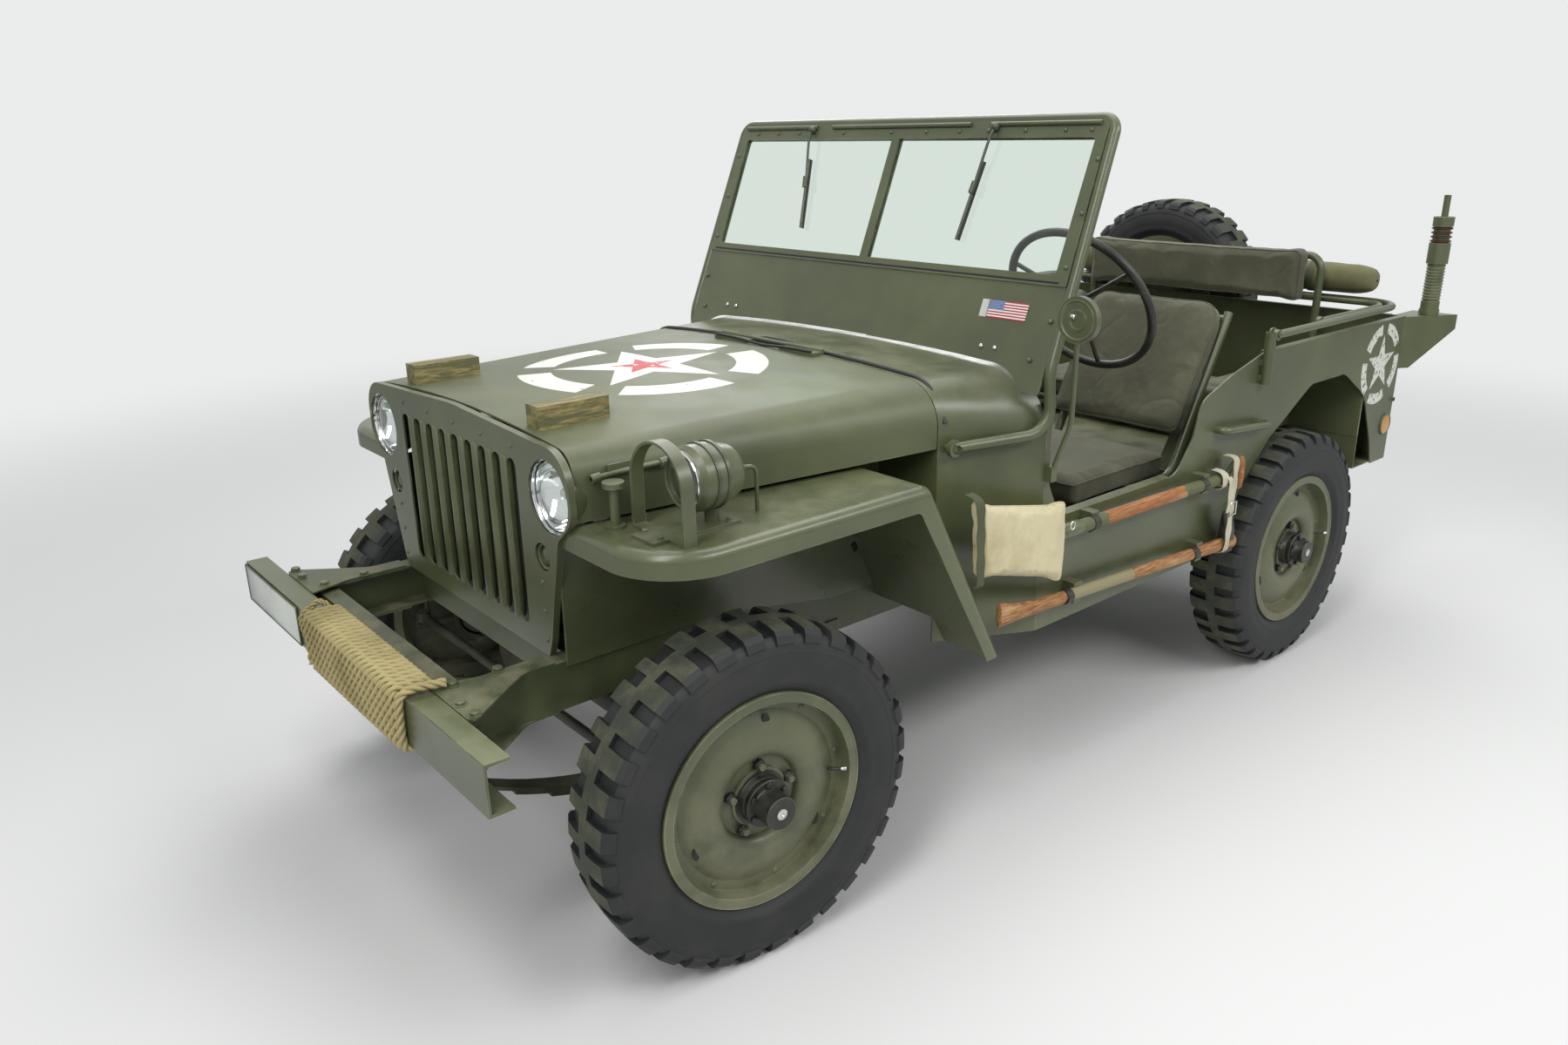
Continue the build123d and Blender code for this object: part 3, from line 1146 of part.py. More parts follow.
def antenna_mount():
    """Bracket at the rear left corner with the insulated antenna base, open at its top."""
    low = TUB_RAIL_Z - 8
    inner, outer, end = ANTENNA_SHELF
    shelf = prism("z", low, low + SHEET, [(inner, TUB_REAR), (TUB_HALF, TUB_REAR),
        (outer, end), (inner, end)])
    cheek = prism("z", 700, low + 1, [
        (TUB_HALF - 5, TUB_REAR), (TUB_HALF, TUB_REAR), (outer, end), (outer - 5, end),
    ])
    cheek += box((inner, inner + SHEET), (TUB_REAR, end), (700, low + 1))
    cheek &= prism("x", inner - 1, outer + 1, [
        (TUB_REAR, 800), (TUB_REAR + 32, 800), (end, 920), (end, low + 1), (TUB_REAR, low + 1),
    ])
    base = None
    for radius, z_low, z_high in ANTENNA_STACK:
        ring = disc("z", (ANTENNA_PLACE[0], ANTENNA_PLACE[1], 0), radius, z_low, z_high)
        base = ring if base is None else base + ring
    top = ANTENNA_STACK[-1][2]
    base -= disc("z", (ANTENNA_PLACE[0], ANTENNA_PLACE[1], 0), MAST_RADIUS, top - MAST_DEPTH, top + 1)
    return shelf + cheek + base


def spare_placed(shape):
    """A shape made about a wheel's middle, put on the spare carrier with its outside to the rear."""
    return Pos(SPARE_PLACE[0], SPARE_Y, SPARE_PLACE[1]) * (Rot(0, 0, 90) * shape)


def rear_lamps():
    """Tail lamps on the rear panel and round reflectors on the tub's sides."""
    lamp = disc("y", (TUB_HALF - 55, 0, 690), 36, TUB_REAR, TUB_REAR + 34)
    reflector = disc("x", (0, TUB_REAR - 38, 621), 36, TUB_HALF, TUB_HALF + 6)
    return lamp, mirrored(lamp), reflector, mirrored(reflector)


def rear_bumpers():
    """Rear bumperettes and the towing hook on the rear crossmember."""
    low, high = REAR_RAIL_TOP - 92, REAR_RAIL_TOP
    middle = TUB_HALF - 150
    outer = [
        (middle - 110, TUB_REAR), (middle - 65, TUB_REAR + 82, 30), (middle + 65, TUB_REAR + 82, 30),
        (middle + 117, TUB_REAR),
    ]
    inner = [
        (middle - 102, TUB_REAR - 1), (middle - 60, TUB_REAR + 76, 24), (middle + 60, TUB_REAR + 76, 24),
        (middle + 109, TUB_REAR - 1),
    ]
    guard = prism("z", low, high, outer) - prism("z", low - 1, high + 1, inner)
    z = HOOK_Z
    hook = box((-62, 62), (TUB_REAR, TUB_REAR + 12), (z - 50, z + 50))
    hook += disc("y", (0, 0, z), 24, TUB_REAR + 10, TUB_REAR + 62)
    centre = TUB_REAR + 100
    ring = disc("x", (0, centre, z), 46, -16, 16) - disc("x", (0, centre, z), 23, -17, 17)
    hook += ring
    return guard, mirrored(guard), hook


def mirror_arm():
    """Round mirror on its bent arm at the tub's left side."""
    x, y, z = MIRROR_PLACE
    foot_y = COWL_REAR + 8
    arm = tube([(TUB_HALF + 12, foot_y, 818), (x - 32, foot_y + 16, 935), (x - 1, y, z - 40)], 6, [120])
    arm += box((TUB_HALF, TUB_HALF + 20), (foot_y - 10, foot_y + 10), (800, 836))
    return arm + disc("y", (x, 0, z), MIRROR_RADIUS, y - 7, y + 7)


def drive_lamp():
    """Hooded driving lamp on the left fender, its pedestal, brush guard and cable."""
    x, y, z = LAMP_PLACE
    profile = outline([(0, -58), (52, -58), (60, -46), (60, 0), (46, 44, 20), (0, 62)])
    plane = Plane(origin=(x, y, z), x_dir=(1, 0, 0), z_dir=(0, 0, 1))
    lamp = revolve(plane * profile, axis=Axis((x, y, z), (0, 1, 0)))
    lamp += disc("z", (x, y, 0), 14, FENDER_TOP, z - 40)
    lamp += box((x - 34, x + 34), (y - 150, y + 40), (FENDER_TOP, FENDER_TOP + 6))
    guard = (disc("y", (x, 0, z), 80, y - 118, y - 92)
        + box((x - 80, x + 80), (y - 118, y - 92), (FENDER_TOP, z)))
    guard -= disc("y", (x, 0, z), 75, y - 130, y - 80)
    guard -= box((x - 75, x + 75), (y - 130, y - 80), (FENDER_TOP + 6, z))
    lamp += guard
    lamp += tube([(x, y + 58, z), (x, y + 104, z - 6), (x, y + 104, FENDER_TOP)], 4, [18])
    return lamp


def shovel():
    """Shovel strapped to the left side, its grip to the rear."""
    x = TOOL_X
    start, end = SHOVEL_SHAFT
    tool = rod((x,) + start, (x,) + end, TOOL_RADIUS)
    y, z = end[0] - 14, end[1]
    grip = [
        (y, z - 10), (y, z + 10), (y + 30, z + 46, 12), (y + 94, z + 40, 14),
        (y + 94, z - 46, 14), (y + 30, z - 46, 12),
    ]
    hole = [(y + 26, z), (y + 42, z + 25, 8), (y + 70, z + 22, 6), (y + 70, z - 26, 6), (y + 42, z - 26, 8)]
    tool += prism("x", x - 11, x + 11, grip) - prism("x", x - 12, x + 12, hole)
    y, z = start
    blade = [(y - 305, z - 36, 30), (y - 305, z + 36, 30),
        (y - 35, z + 64, 20), (y - 15, z), (y - 35, z - 64, 20)]
    tool += prism("x", x - 12, x - 8, blade)
    return tool + box((x - 12, x), (y - 22, y + 35), (z - 12, z + 12))


def axe():
    """Axe strapped under the shovel, its head to the rear."""
    x = TOOL_X
    start, end = AXE_SHAFT
    tool = rod((x,) + start, (x,) + end, TOOL_RADIUS - 1)
    y, z = end
    head = [
        (y - 32, z - 20), (y + 26, z - 26), (y + 26, z + 34),
        (y + 18, z + 94), (y - 50, z + 100), (y - 32, z + 34),
    ]
    return tool + prism("x", x - 14, x + 14, head)


def tool_clamps():
    """Blocks on the left side that the shovel and the axe are seated in."""
    clamps = []
    rear = WHEEL_HOUSE_FRONT - 190
    tools = (
        # shaft, radius, places of its clamps
        (SHOVEL_SHAFT, TOOL_RADIUS, (COWL_REAR + 160, rear)),
        (AXE_SHAFT, TOOL_RADIUS - 1, (COWL_REAR + 110, rear)),
    )
    for run, radius, places in tools:
        (y_low, z_low), (y_high, z_high) = run
        bar = rod((TOOL_X,) + run[0], (TOOL_X,) + run[1], radius)
        for y in places:
            z = z_low + (z_high - z_low) * (y - y_low) / (y_high - y_low)
            clamps.append(box((TUB_HALF, TOOL_X), (y - 14, y + 14), (z - 25, z + 25)) - bar)
    return clamps


def canvas_bag():
    """Canvas bag hung at the cowl's left side over the shovel's blade, plain."""
    inner = TOOL_X - 8 + RUNNING_GAP
    y = COWL_REAR
    bag = prism("x", inner, inner + BAG_DEPTH, [(y - 302, 832), (y + 36, 760), (y + 39, 555), (y - 284, 645)])
    return fillet(bag.edges().filter_by(Axis.X), 14)


def build():
    """Make and write every node."""
    os.makedirs("parts", exist_ok=True)
    save_node("frame", *frame())
    save_node("leaf_springs", *leaf_springs())
    save_node("front_axle", front_axle())
    save_node("rear_axle", rear_axle())
    save_node("engine", engine())
    save_node("prop_shafts", *prop_shafts())
    save_node("exhaust", exhaust())
    save_node("radiator", radiator())
    save_node("bumpers", front_bumper(), *rear_bumpers())
    save_node("bumper_rope", bumper_rope())
    save_node("floor", floor())
    save_node("body_sides", *body_sides())
    save_node("wheel_houses", *wheel_houses())
    save_node("rear_panel", rear_panel())
    save_node("cowl", cowl())
    save_node("fenders", *fenders())
    save_node("grille", grille())
    save_node("lamps", *headlamps(), *rear_lamps())
    save_node("drive_lamp", drive_lamp())
    save_node("controls", *controls())
    save_node("fuel_tank", fuel_tank())
    save_node("fixed_seat_frames", seat_frame(SEAT_INNER, SEAT_OUTER), rear_seat_rail())
    save_node("fixed_cushions", *seat_cushions(SEAT_INNER, SEAT_OUTER), rear_seat_back())
    save_node("body_fittings", *body_fittings(), *seat_brackets(), *rear_seat_pins(), *tool_clamps())
    save_node("antenna_mount", antenna_mount())
    save_node("spare_rim", spare_placed(wheel_rim(False)))
    save_node("spare_tyre", spare_placed(tyre()))
    save_node("side_mirror", mirror_arm())
    save_node("tools", shovel(), axe())
    save_node("canvas_bag", canvas_bag())
    save_node("tie_rod", tie_rod())
    save_node("steering_wheel", steering_wheel())
    save_node("hood", hood())
    save_node("hood_blocks", *hood_blocks())
    save_node("windshield_frame", windshield_frame())
    save_node("windshield_glass", *windshield_glass())
    save_node("passenger_seat_frame", seat_frame(-SEAT_OUTER, -SEAT_INNER))
    save_node("passenger_cushions", *seat_cushions(-SEAT_OUTER, -SEAT_INNER))
    save_node("rear_seat_base", rear_seat_base())
    save_node("rear_seat_cushion", rear_seat_cushion())
    save_node("front_bow", front_bow())
    save_node("rear_bow", rear_bow())
    save_node("canvas_roll", canvas_roll())
    for name, side in SIDES:
        save_node(f"knuckle_{name}", knuckle(side))
        save_node(f"front_rim_{name}", steered(side, wheel_rim(True, FRONT_CAP_X)))
        save_node(f"front_tyre_{name}", steered(side, tyre()))
        save_node(f"rear_rim_{name}", rear_placed(side, wheel_rim(True, REAR_CAP_X)))
        save_node(f"rear_tyre_{name}", rear_placed(side, tyre()))


build()
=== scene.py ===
"""Looks of the open army car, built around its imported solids."""

import math

import bmesh
import bpy
from mathutils import Matrix, Vector, noise


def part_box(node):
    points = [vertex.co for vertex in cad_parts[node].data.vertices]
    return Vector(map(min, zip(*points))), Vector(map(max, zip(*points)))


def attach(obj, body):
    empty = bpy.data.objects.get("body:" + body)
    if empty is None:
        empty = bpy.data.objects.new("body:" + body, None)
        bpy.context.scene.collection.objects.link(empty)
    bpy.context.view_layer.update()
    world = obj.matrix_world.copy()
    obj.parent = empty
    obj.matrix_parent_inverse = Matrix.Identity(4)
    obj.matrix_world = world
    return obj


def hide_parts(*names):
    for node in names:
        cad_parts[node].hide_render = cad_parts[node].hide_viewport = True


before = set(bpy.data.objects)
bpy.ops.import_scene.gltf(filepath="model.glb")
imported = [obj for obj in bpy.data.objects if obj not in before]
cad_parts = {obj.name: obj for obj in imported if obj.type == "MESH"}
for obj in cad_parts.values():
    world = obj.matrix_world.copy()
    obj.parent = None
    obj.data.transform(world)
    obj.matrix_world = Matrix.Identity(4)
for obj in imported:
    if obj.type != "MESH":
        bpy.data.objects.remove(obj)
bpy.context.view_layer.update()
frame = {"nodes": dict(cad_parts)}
nodes = frame["nodes"]

# Main places of the car in mm. Lengths are counted back from the front axle.
AXLE_BACK = 1165.5
WHEELBASE = 2032
HALF_TRACK = 625
KINGPIN_X = 540
AXLE_HEIGHT = 352
STEER_REST = math.radians(-5)

FORWARD, REARWARD, LEFTWARD, UPWARD, DOWNWARD = (0, -1, 0), (0, 1, 0), (1, 0, 0), (0, 0, 1), (0, 0, -1)
ORIGIN = (0, AXLE_BACK, 0)


def at(x, y, z):
    """A place in metres, from millimetres across, back from the front axle, and up."""
    return Vector((x / 1000, (y - AXLE_BACK) / 1000, z / 1000))


def in_mm(spot):
    """The millimetres that at() would turn into a place."""
    return spot.x * 1000, spot.y * 1000 + AXLE_BACK, spot.z * 1000


# Shader building

def shade(red, green, blue):
    """Linear colour from screen values of 0 to 255."""
    linear = []
    for part in (red, green, blue):
        share = part / 255
        linear.append(share / 12.92 if share <= 0.04045 else ((share + 0.055) / 1.055) ** 2.4)
    return (*linear, 1)


def feed(tree, socket, value):
    """Links an output to a socket, or sets the socket's value."""
    if isinstance(value, bpy.types.NodeSocket):
        tree.links.new(value, socket)
    elif value is not None:
        socket.default_value = value


def add(tree, kind, *values, **settings):
    """Adds a node with its settings and feeds its inputs in order."""
    node = tree.nodes.new("ShaderNode" + kind)
    for name, value in settings.items():
        setattr(node, name, value)
    for socket, value in zip(node.inputs, values):
        feed(tree, socket, value)
    return node


def maths(tree, operation, *values):
    """A Math node's result."""
    return add(tree, "Math", *values, operation=operation).outputs[0]


def times(tree, first, second):
    """Product of two values."""
    return maths(tree, "MULTIPLY", first, second)


def plus(tree, first, second):
    """Sum of two values."""
    return maths(tree, "ADD", first, second)


def minus(tree, first, second):
    """First value less the second."""
    return maths(tree, "SUBTRACT", first, second)


def between(tree, value, low, high, smooth=True):
    """How far a value is from low to high, from 0 to 1."""
    node = add(tree, "MapRange", value, low, high, 0.0, 1.0)
    node.interpolation_type = "SMOOTHSTEP" if smooth else "LINEAR"
    node.clamp = True
    return node.outputs[0]


def blended(tree, share, first, second, way="MIX"):
    """Two colours mixed, or blended in another way."""
    node = tree.nodes.new("ShaderNodeMix")
    node.data_type = "RGBA"
    node.blend_type = way
    feed(tree, node.inputs[0], share)
    feed(tree, node.inputs[6], first)
    feed(tree, node.inputs[7], second)
    return node.outputs[2]


def speckle(tree, place, scale, detail=4.0, rough=0.55):
    """Noise at a place."""
    node = tree.nodes.new("ShaderNodeTexNoise")
    feed(tree, node.inputs["Vector"], place)
    feed(tree, node.inputs["Scale"], scale)
    node.inputs["Detail"].default_value = detail
    node.inputs["Roughness"].default_value = rough
    return node.outputs["Fac"]


def place_of(tree, output="Object"):
    """Object coordinates, or another output of the texture coordinates."""
    return tree.nodes.new("ShaderNodeTexCoord").outputs[output]


def material_with_shader(name):
    """A new material, its node tree and its shader's inputs."""
    material = bpy.data.materials.new(name)
    material.use_nodes = True
    return material, material.node_tree, material.node_tree.nodes["Principled BSDF"].inputs


# Camera, floor and light

CAMERA = (2152, -1183.5, 1556)
CAMERA_AROUND, CAMERA_UP, CAMERA_ROLL = math.radians(50.02), math.radians(18.96), math.radians(-0.91)
CAMERA_LENS = 26.114
BACKDROP = (0.83, 0.84, 0.84, 1)
FLOOR_PALE = (0.74, 0.74, 0.73, 1)
FLOOR_FADES = (2.0, 6.5)
AMBIENT = (0.86, 0.9, 0.92, 1)
AMBIENT_STRENGTH = 0.38
LAMPS = (
    # name, place, target and size in m, power in W
    ("strip_front", (1.6, -3.2, 3.6), (0, -0.6, 0.8), (0.9, 3.6), 95),
    ("strip_side", (3.6, 0.6, 3.3), (0.3, 0.2, 0.6), (3.6, 0.9), 85),
    ("top_soft", (-0.8, 0.6, 4.4), (0, 0, 0.8), (3.6, 3.6), 105),
    ("back_rim", (-3.2, 2.6, 2.8), (0, 0.2, 0.8), (2.4, 1.2), 55),
)


def place_camera():
    """The photograph's own viewpoint."""
    bpy.ops.object.camera_add(location=at(*CAMERA))
    camera = bpy.context.object
    level = math.cos(CAMERA_UP)
    back = Vector((math.sin(CAMERA_AROUND) * level, -math.cos(CAMERA_AROUND) * level, math.sin(CAMERA_UP)))
    turn = back.to_track_quat("Z", "Y").to_matrix() @ Matrix.Rotation(CAMERA_ROLL, 3, "Z")
    camera.rotation_euler = turn.to_euler()
    camera.data.sensor_width = 36
    camera.data.lens = CAMERA_LENS
    camera.data.clip_end = 60
    bpy.context.scene.camera = camera


def area_light(name, place, target, size, power):
    """A soft rectangular lamp that faces a target."""
    bpy.ops.object.light_add(type="AREA", location=place)
    lamp = bpy.context.object
    lamp.name = name
    lamp.data.shape = "RECTANGLE"
    lamp.data.size, lamp.data.size_y = size
    lamp.data.energy = power
    lamp.rotation_euler = (Vector(place) - Vector(target)).to_track_quat("Z", "Y").to_euler()


def looked_at(tree):
    """1 on what the camera sees, straight or through glass."""
    ray = tree.nodes.new("ShaderNodeLightPath").outputs
    return maths(tree, "MAXIMUM", ray["Is Camera Ray"], ray["Is Transmission Ray"])


def pale_floor():
    """Pale floor that fades into the backdrop far from the car."""
    bpy.ops.mesh.primitive_plane_add(size=60, location=(0, 0, 0))
    floor = bpy.context.object
    floor.name = "studio_floor"
    pale, tree, shader = material_with_shader("studio floor")
    shader["Base Color"].default_value = FLOOR_PALE
    shader["Roughness"].default_value = 0.9
    shader["Specular IOR Level"].default_value = 0.1
    away = add(tree, "VectorMath", place_of(tree), operation="LENGTH").outputs["Value"]
    faded = times(tree, looked_at(tree), between(tree, away, *FLOOR_FADES))
    plain = add(tree, "Emission", BACKDROP).outputs[0]
    lit = tree.nodes["Principled BSDF"].outputs[0]
    feed(tree, tree.nodes["Material Output"].inputs[0], add(tree, "MixShader", faded, lit, plain).outputs[0])
    floor.data.materials.append(pale)


def surroundings():
    """Soft light from all sides, and the plain backdrop where it is seen or mirrored."""
    world = bpy.data.worlds.new("studio")
    bpy.context.scene.world = world
    world.use_nodes = True
    tree = world.node_tree
    tree.nodes.clear()
    mirrored = tree.nodes.new("ShaderNodeLightPath").outputs["Is Glossy Ray"]
    seen = maths(tree, "MAXIMUM", looked_at(tree), mirrored)
    ambient = add(tree, "Background", AMBIENT, AMBIENT_STRENGTH).outputs[0]
    backdrop = add(tree, "Background", BACKDROP, 1.0).outputs[0]
    both = add(tree, "MixShader", seen, ambient, backdrop).outputs[0]
    feed(tree, tree.nodes.new("ShaderNodeOutputWorld").inputs[0], both)


place_camera()
pale_floor()
surroundings()
for lamp in LAMPS:
    area_light(*lamp)
bpy.context.scene.view_settings.view_transform = "Standard"


# Finishes

def new_group(name, inputs, outputs):
    """An empty shader group with named sockets, and its two end nodes."""
    tree = bpy.data.node_groups.new(name, "ShaderNodeTree")
    for label, kind, value in inputs:
        socket = tree.interface.new_socket(name=label, in_out="INPUT", socket_type="NodeSocket" + kind)
        socket.default_value = value
    for label, kind in outputs:
        tree.interface.new_socket(name=label, in_out="OUTPUT", socket_type="NodeSocket" + kind)
    return tree, tree.nodes.new("NodeGroupInput").outputs, tree.nodes.new("NodeGroupOutput").inputs


def paint_group():
    """Sprayed paint: cloudy tone, pale edges that are partly rubbed paint and partly a painted highlight,
    dust on what faces up and mud low down.
    """
    tree, given, out = new_group("sprayed paint", [
        ("Colour", "Color", shade(78, 86, 52)), ("Dust Colour", "Color", shade(128, 124, 100)),
        ("Dust", "Float", 0.3), ("Rubbed", "Float", 0.4), ("Gloss", "Float", 0.36),
    ], [("Colour", "Color"), ("Roughness", "Float"), ("Height", "Float")])
    place = place_of(tree)
    cloud = speckle(tree, place, 2.6, 5.0)
    patch = speckle(tree, place, 11.0, 6.0, 0.62)
    grit = speckle(tree, place, 420.0, 3.0)
    tone = plus(tree, times(tree, cloud, 0.7), times(tree, patch, 0.3))
    light = blended(tree, between(tree, tone, 0.35, 0.68), (0.80, 0.80, 0.84, 1), (1.2, 1.19, 1.14, 1))
    toned = blended(tree, 1, given["Colour"], light, "MULTIPLY")
    facing = add(tree, "SeparateXYZ", place_of(tree, "Normal")).outputs[2]
    height = add(tree, "SeparateXYZ", place).outputs[2]
    settled = times(tree, between(tree, facing, 0.35, 1.0), between(tree, patch, 0.36, 0.72))
    low = times(tree, between(tree, height, 0.62, 0.2), between(tree, patch, 0.3, 0.66))
    dusty = times(tree, maths(tree, "MAXIMUM", settled, low), given["Dust"])
    coloured = blended(tree, dusty, toned, given["Dust Colour"])
    # Sharp edges turn pale olive grey: partly rubbed paint, partly a painted highlight on the edges.
    bevel = tree.nodes.new("ShaderNodeBevel")
    bevel.samples = 4
    bevel.inputs["Radius"].default_value = 0.0035
    sharp = tree.nodes.new("ShaderNodeNewGeometry").outputs["Normal"]
    dot = add(tree, "VectorMath", bevel.outputs[0], sharp, operation="DOT_PRODUCT").outputs["Value"]
    edge = between(tree, dot, 0.985, 0.86)
    worn = times(tree, times(tree, edge, between(tree, patch, 0.42, 0.62)), given["Rubbed"])
    bright = blended(tree, worn, coloured, shade(146, 148, 124))
    feed(tree, out["Colour"], bright)
    rough = plus(tree, given["Gloss"], times(tree, dusty, 0.5))
    rough = plus(tree, rough, times(tree, minus(tree, patch, 0.5), 0.22))
    feed(tree, out["Roughness"], maths(tree, "MINIMUM", rough, 0.95))
    wave = speckle(tree, place, 24.0, 2.0)
    feed(tree, out["Height"], plus(tree, times(tree, grit, 0.12), times(tree, wave, 0.9)))
    return tree


def cloth_group():
    """Woven cloth: threads both ways, faded patches and rubbed dirt."""
    tree, given, out = new_group("woven cloth", [
        ("Colour", "Color", shade(96, 98, 70)), ("Faded", "Color", shade(130, 128, 100)),
        ("Thread", "Float", 900.0), ("Fade", "Float", 0.5),
    ], [("Colour", "Color"), ("Roughness", "Float"), ("Height", "Float")])
    place = place_of(tree)
    cloud = speckle(tree, place, 6.0, 6.0, 0.6)
    fine = speckle(tree, place, 60.0, 4.0, 0.7)
    across, along, up = add(tree, "SeparateXYZ", place).outputs
    pitch = times(tree, given["Thread"], 6.283)
    warp = maths(tree, "SINE", times(tree, across, pitch))
    weft = maths(tree, "SINE", times(tree, plus(tree, along, up), pitch))
    weave = maths(tree, "MAXIMUM", warp, weft)
    faded = times(tree, between(tree, cloud, 0.38, 0.68), given["Fade"])
    colour = blended(tree, faded, given["Colour"], given["Faded"])
    dark = plus(tree, 0.86, times(tree, fine, 0.28))
    shaded = plus(tree, dark, times(tree, weave, 0.04))
    tinted = add(tree, "VectorMath", colour, operation="SCALE")
    feed(tree, tinted.inputs["Scale"], shaded)
    feed(tree, out["Colour"], tinted.outputs[0])
    feed(tree, out["Roughness"], plus(tree, 0.78, times(tree, fine, 0.2)))
    feed(tree, out["Height"], plus(tree, times(tree, weave, 0.25), times(tree, fine, 0.8)))
    return tree


def grain_group():
    """Wood along one axis, with worn paint left on it."""
    tree, given, out = new_group("worn wood", [
        ("Wood", "Color", shade(190, 120, 62)), ("Dark Grain", "Color", shade(120, 70, 34)),
        ("Paint", "Color", shade(90, 92, 60)), ("Painted", "Float", 0.5), ("Stretch", "Float", 12.0),
    ], [("Colour", "Color"), ("Roughness", "Float"), ("Height", "Float")])
    across, along, up = add(tree, "SeparateXYZ", place_of(tree)).outputs
    pulled = add(tree, "CombineXYZ", across, maths(tree, "DIVIDE", along, given["Stretch"]), up).outputs[0]
    fibre = speckle(tree, pulled, 260.0, 5.0, 0.7)
    broad = speckle(tree, pulled, 46.0, 3.0)
    wood = blended(tree, between(tree, fibre, 0.35, 0.7), given["Dark Grain"], given["Wood"])
    wood = blended(tree, times(tree, between(tree, broad, 0.5, 0.75), 0.5), wood, shade(206, 176, 130))
    chips = speckle(tree, pulled, 30.0, 6.0, 0.7)
    left = between(tree, plus(tree, chips, times(tree, given["Painted"], 0.5)), 0.72, 0.78)
    feed(tree, out["Colour"], blended(tree, left, wood, given["Paint"]))
    feed(tree, out["Roughness"], plus(tree, 0.5, times(tree, fibre, 0.25)))
    feed(tree, out["Height"], plus(tree, times(tree, fibre, 0.6), times(tree, left, 0.8)))
    return tree


def grime_group():
    """Dirt and oil in patches over any base colour."""
    tree, given, out = new_group("shop grime", [
        ("Colour", "Color", shade(40, 40, 36)), ("Dirt", "Color", shade(92, 86, 70)),
        ("Amount", "Float", 0.5), ("Scale", "Float", 14.0), ("Roughness", "Float", 0.55),
    ], [("Colour", "Color"), ("Roughness", "Float"), ("Height", "Float")])
    place = place_of(tree)
    patch = speckle(tree, place, given["Scale"], 7.0, 0.65)
    fine = speckle(tree, place, 300.0, 3.0)
    dirty = times(tree, between(tree, patch, 0.4, 0.7), given["Amount"])
    feed(tree, out["Colour"], blended(tree, dirty, given["Colour"], given["Dirt"]))
    rough = plus(tree, given["Roughness"], times(tree, dirty, 0.4))
    feed(tree, out["Roughness"], maths(tree, "MINIMUM", rough, 0.97))
    feed(tree, out["Height"], plus(tree, times(tree, patch, 0.7), times(tree, fine, 0.3)))
    return tree


def star_group():
    """Star in a broken ring: masks of all marks and of the inner star. Across and Up are in ring radii."""
    tree, given, out = new_group("star in ring", [
        ("Across", "Float", 0.0), ("Up", "Float", 0.0), ("Star Size", "Float", 0.73),
        ("Ring Inside", "Float", 0.74),
    ], [("Mask", "Float"), ("Inner Star", "Float")])
    squares = [maths(tree, "POWER", given[label], 2.0) for label in ("Across", "Up")]
    distance = maths(tree, "SQRT", plus(tree, *squares))
    angle = maths(tree, "ARCTAN2", given["Across"], given["Up"])
    fifth = 2 * math.pi / 5
    turned_on = maths(tree, "FLOORED_MODULO", plus(tree, angle, fifth / 2), fifth)
    from_tip = maths(tree, "ABSOLUTE", minus(tree, turned_on, fifth / 2))
    along = times(tree, distance, maths(tree, "COSINE", from_tip))
    aside = times(tree, distance, maths(tree, "SINE", from_tip))
    reach = plus(tree, along, times(tree, aside, 1 / math.tan(math.radians(18))))
    edge = 0.006
    star = between(tree, minus(tree, reach, given["Star Size"]), edge, -edge)
    inner_reach = times(tree, given["Star Size"], 0.4)
    inner = between(tree, minus(tree, reach, inner_reach), edge, -edge)
    inside = between(tree, distance, 1 + edge, 1 - edge)
    outside = between(tree, minus(tree, distance, given["Ring Inside"]), -edge, edge)
    open_gap = between(tree, from_tip, 0.16, 0.172)
    ring = times(tree, times(tree, inside, outside), open_gap)
    feed(tree, out["Mask"], maths(tree, "MAXIMUM", star, ring))
    feed(tree, out["Inner Star"], inner)
    return tree


PAINT = paint_group()
CLOTH = cloth_group()
GRAIN = grain_group()
GRIME = grime_group()
STAR = star_group()


def finish_of(name, group, values, bump=0.1, bump_distance=0.001, **constants):
    """A material with one effect group on its shader. Constants go on the shader's own sockets."""
    material, tree, shader = material_with_shader(name)
    effect = tree.nodes.new("ShaderNodeGroup")
    effect.node_tree = group
    for label, value in values.items():
        effect.inputs[label].default_value = value
    feed(tree, shader["Base Color"], effect.outputs["Colour"])
    feed(tree, shader["Roughness"], effect.outputs["Roughness"])
    raised = tree.nodes.new("ShaderNodeBump")
    raised.inputs["Strength"].default_value = bump
    raised.inputs["Distance"].default_value = bump_distance
    feed(tree, raised.inputs["Height"], effect.outputs["Height"])
    feed(tree, shader["Normal"], raised.outputs[0])
    for label, value in constants.items():
        shader[label.replace("_", " ")].default_value = value
    return material


def mark_over(material, flat, centre, radius, facing, inner_red=False, wear=0.33):
    """Paints the star in its ring over a paint, on two axes about a centre in m, facing along the third."""
    tree = material.node_tree
    base = tree.nodes["Principled BSDF"].inputs["Base Color"]
    axes = add(tree, "SeparateXYZ", place_of(tree)).outputs
    normal = add(tree, "SeparateXYZ", place_of(tree, "Normal")).outputs
    star = tree.nodes.new("ShaderNodeGroup")
    star.node_tree = STAR
    for label, axis, middle in zip(("Across", "Up"), flat, centre):
        feed(tree, star.inputs[label], maths(tree, "DIVIDE", minus(tree, axes[axis], middle), radius))
    toward = times(tree, normal[3 - sum(flat)], facing)
    worn = between(tree, speckle(tree, place_of(tree), 70.0, 6.0, 0.7), wear, wear + 0.04)
    mask = times(tree, times(tree, star.outputs["Mask"], between(tree, toward, 0.6, 0.7)), worn)
    colour = blended(tree, mask, base.links[0].from_socket, shade(214, 217, 206))
    if inner_red:
        brushed = between(tree, speckle(tree, place_of(tree), 34.0, 5.0, 0.7), 0.36, 0.44)
        red = times(tree, times(tree, star.outputs["Inner Star"], mask), brushed)
        colour = blended(tree, red, colour, shade(176, 30, 46))
    feed(tree, base, colour)


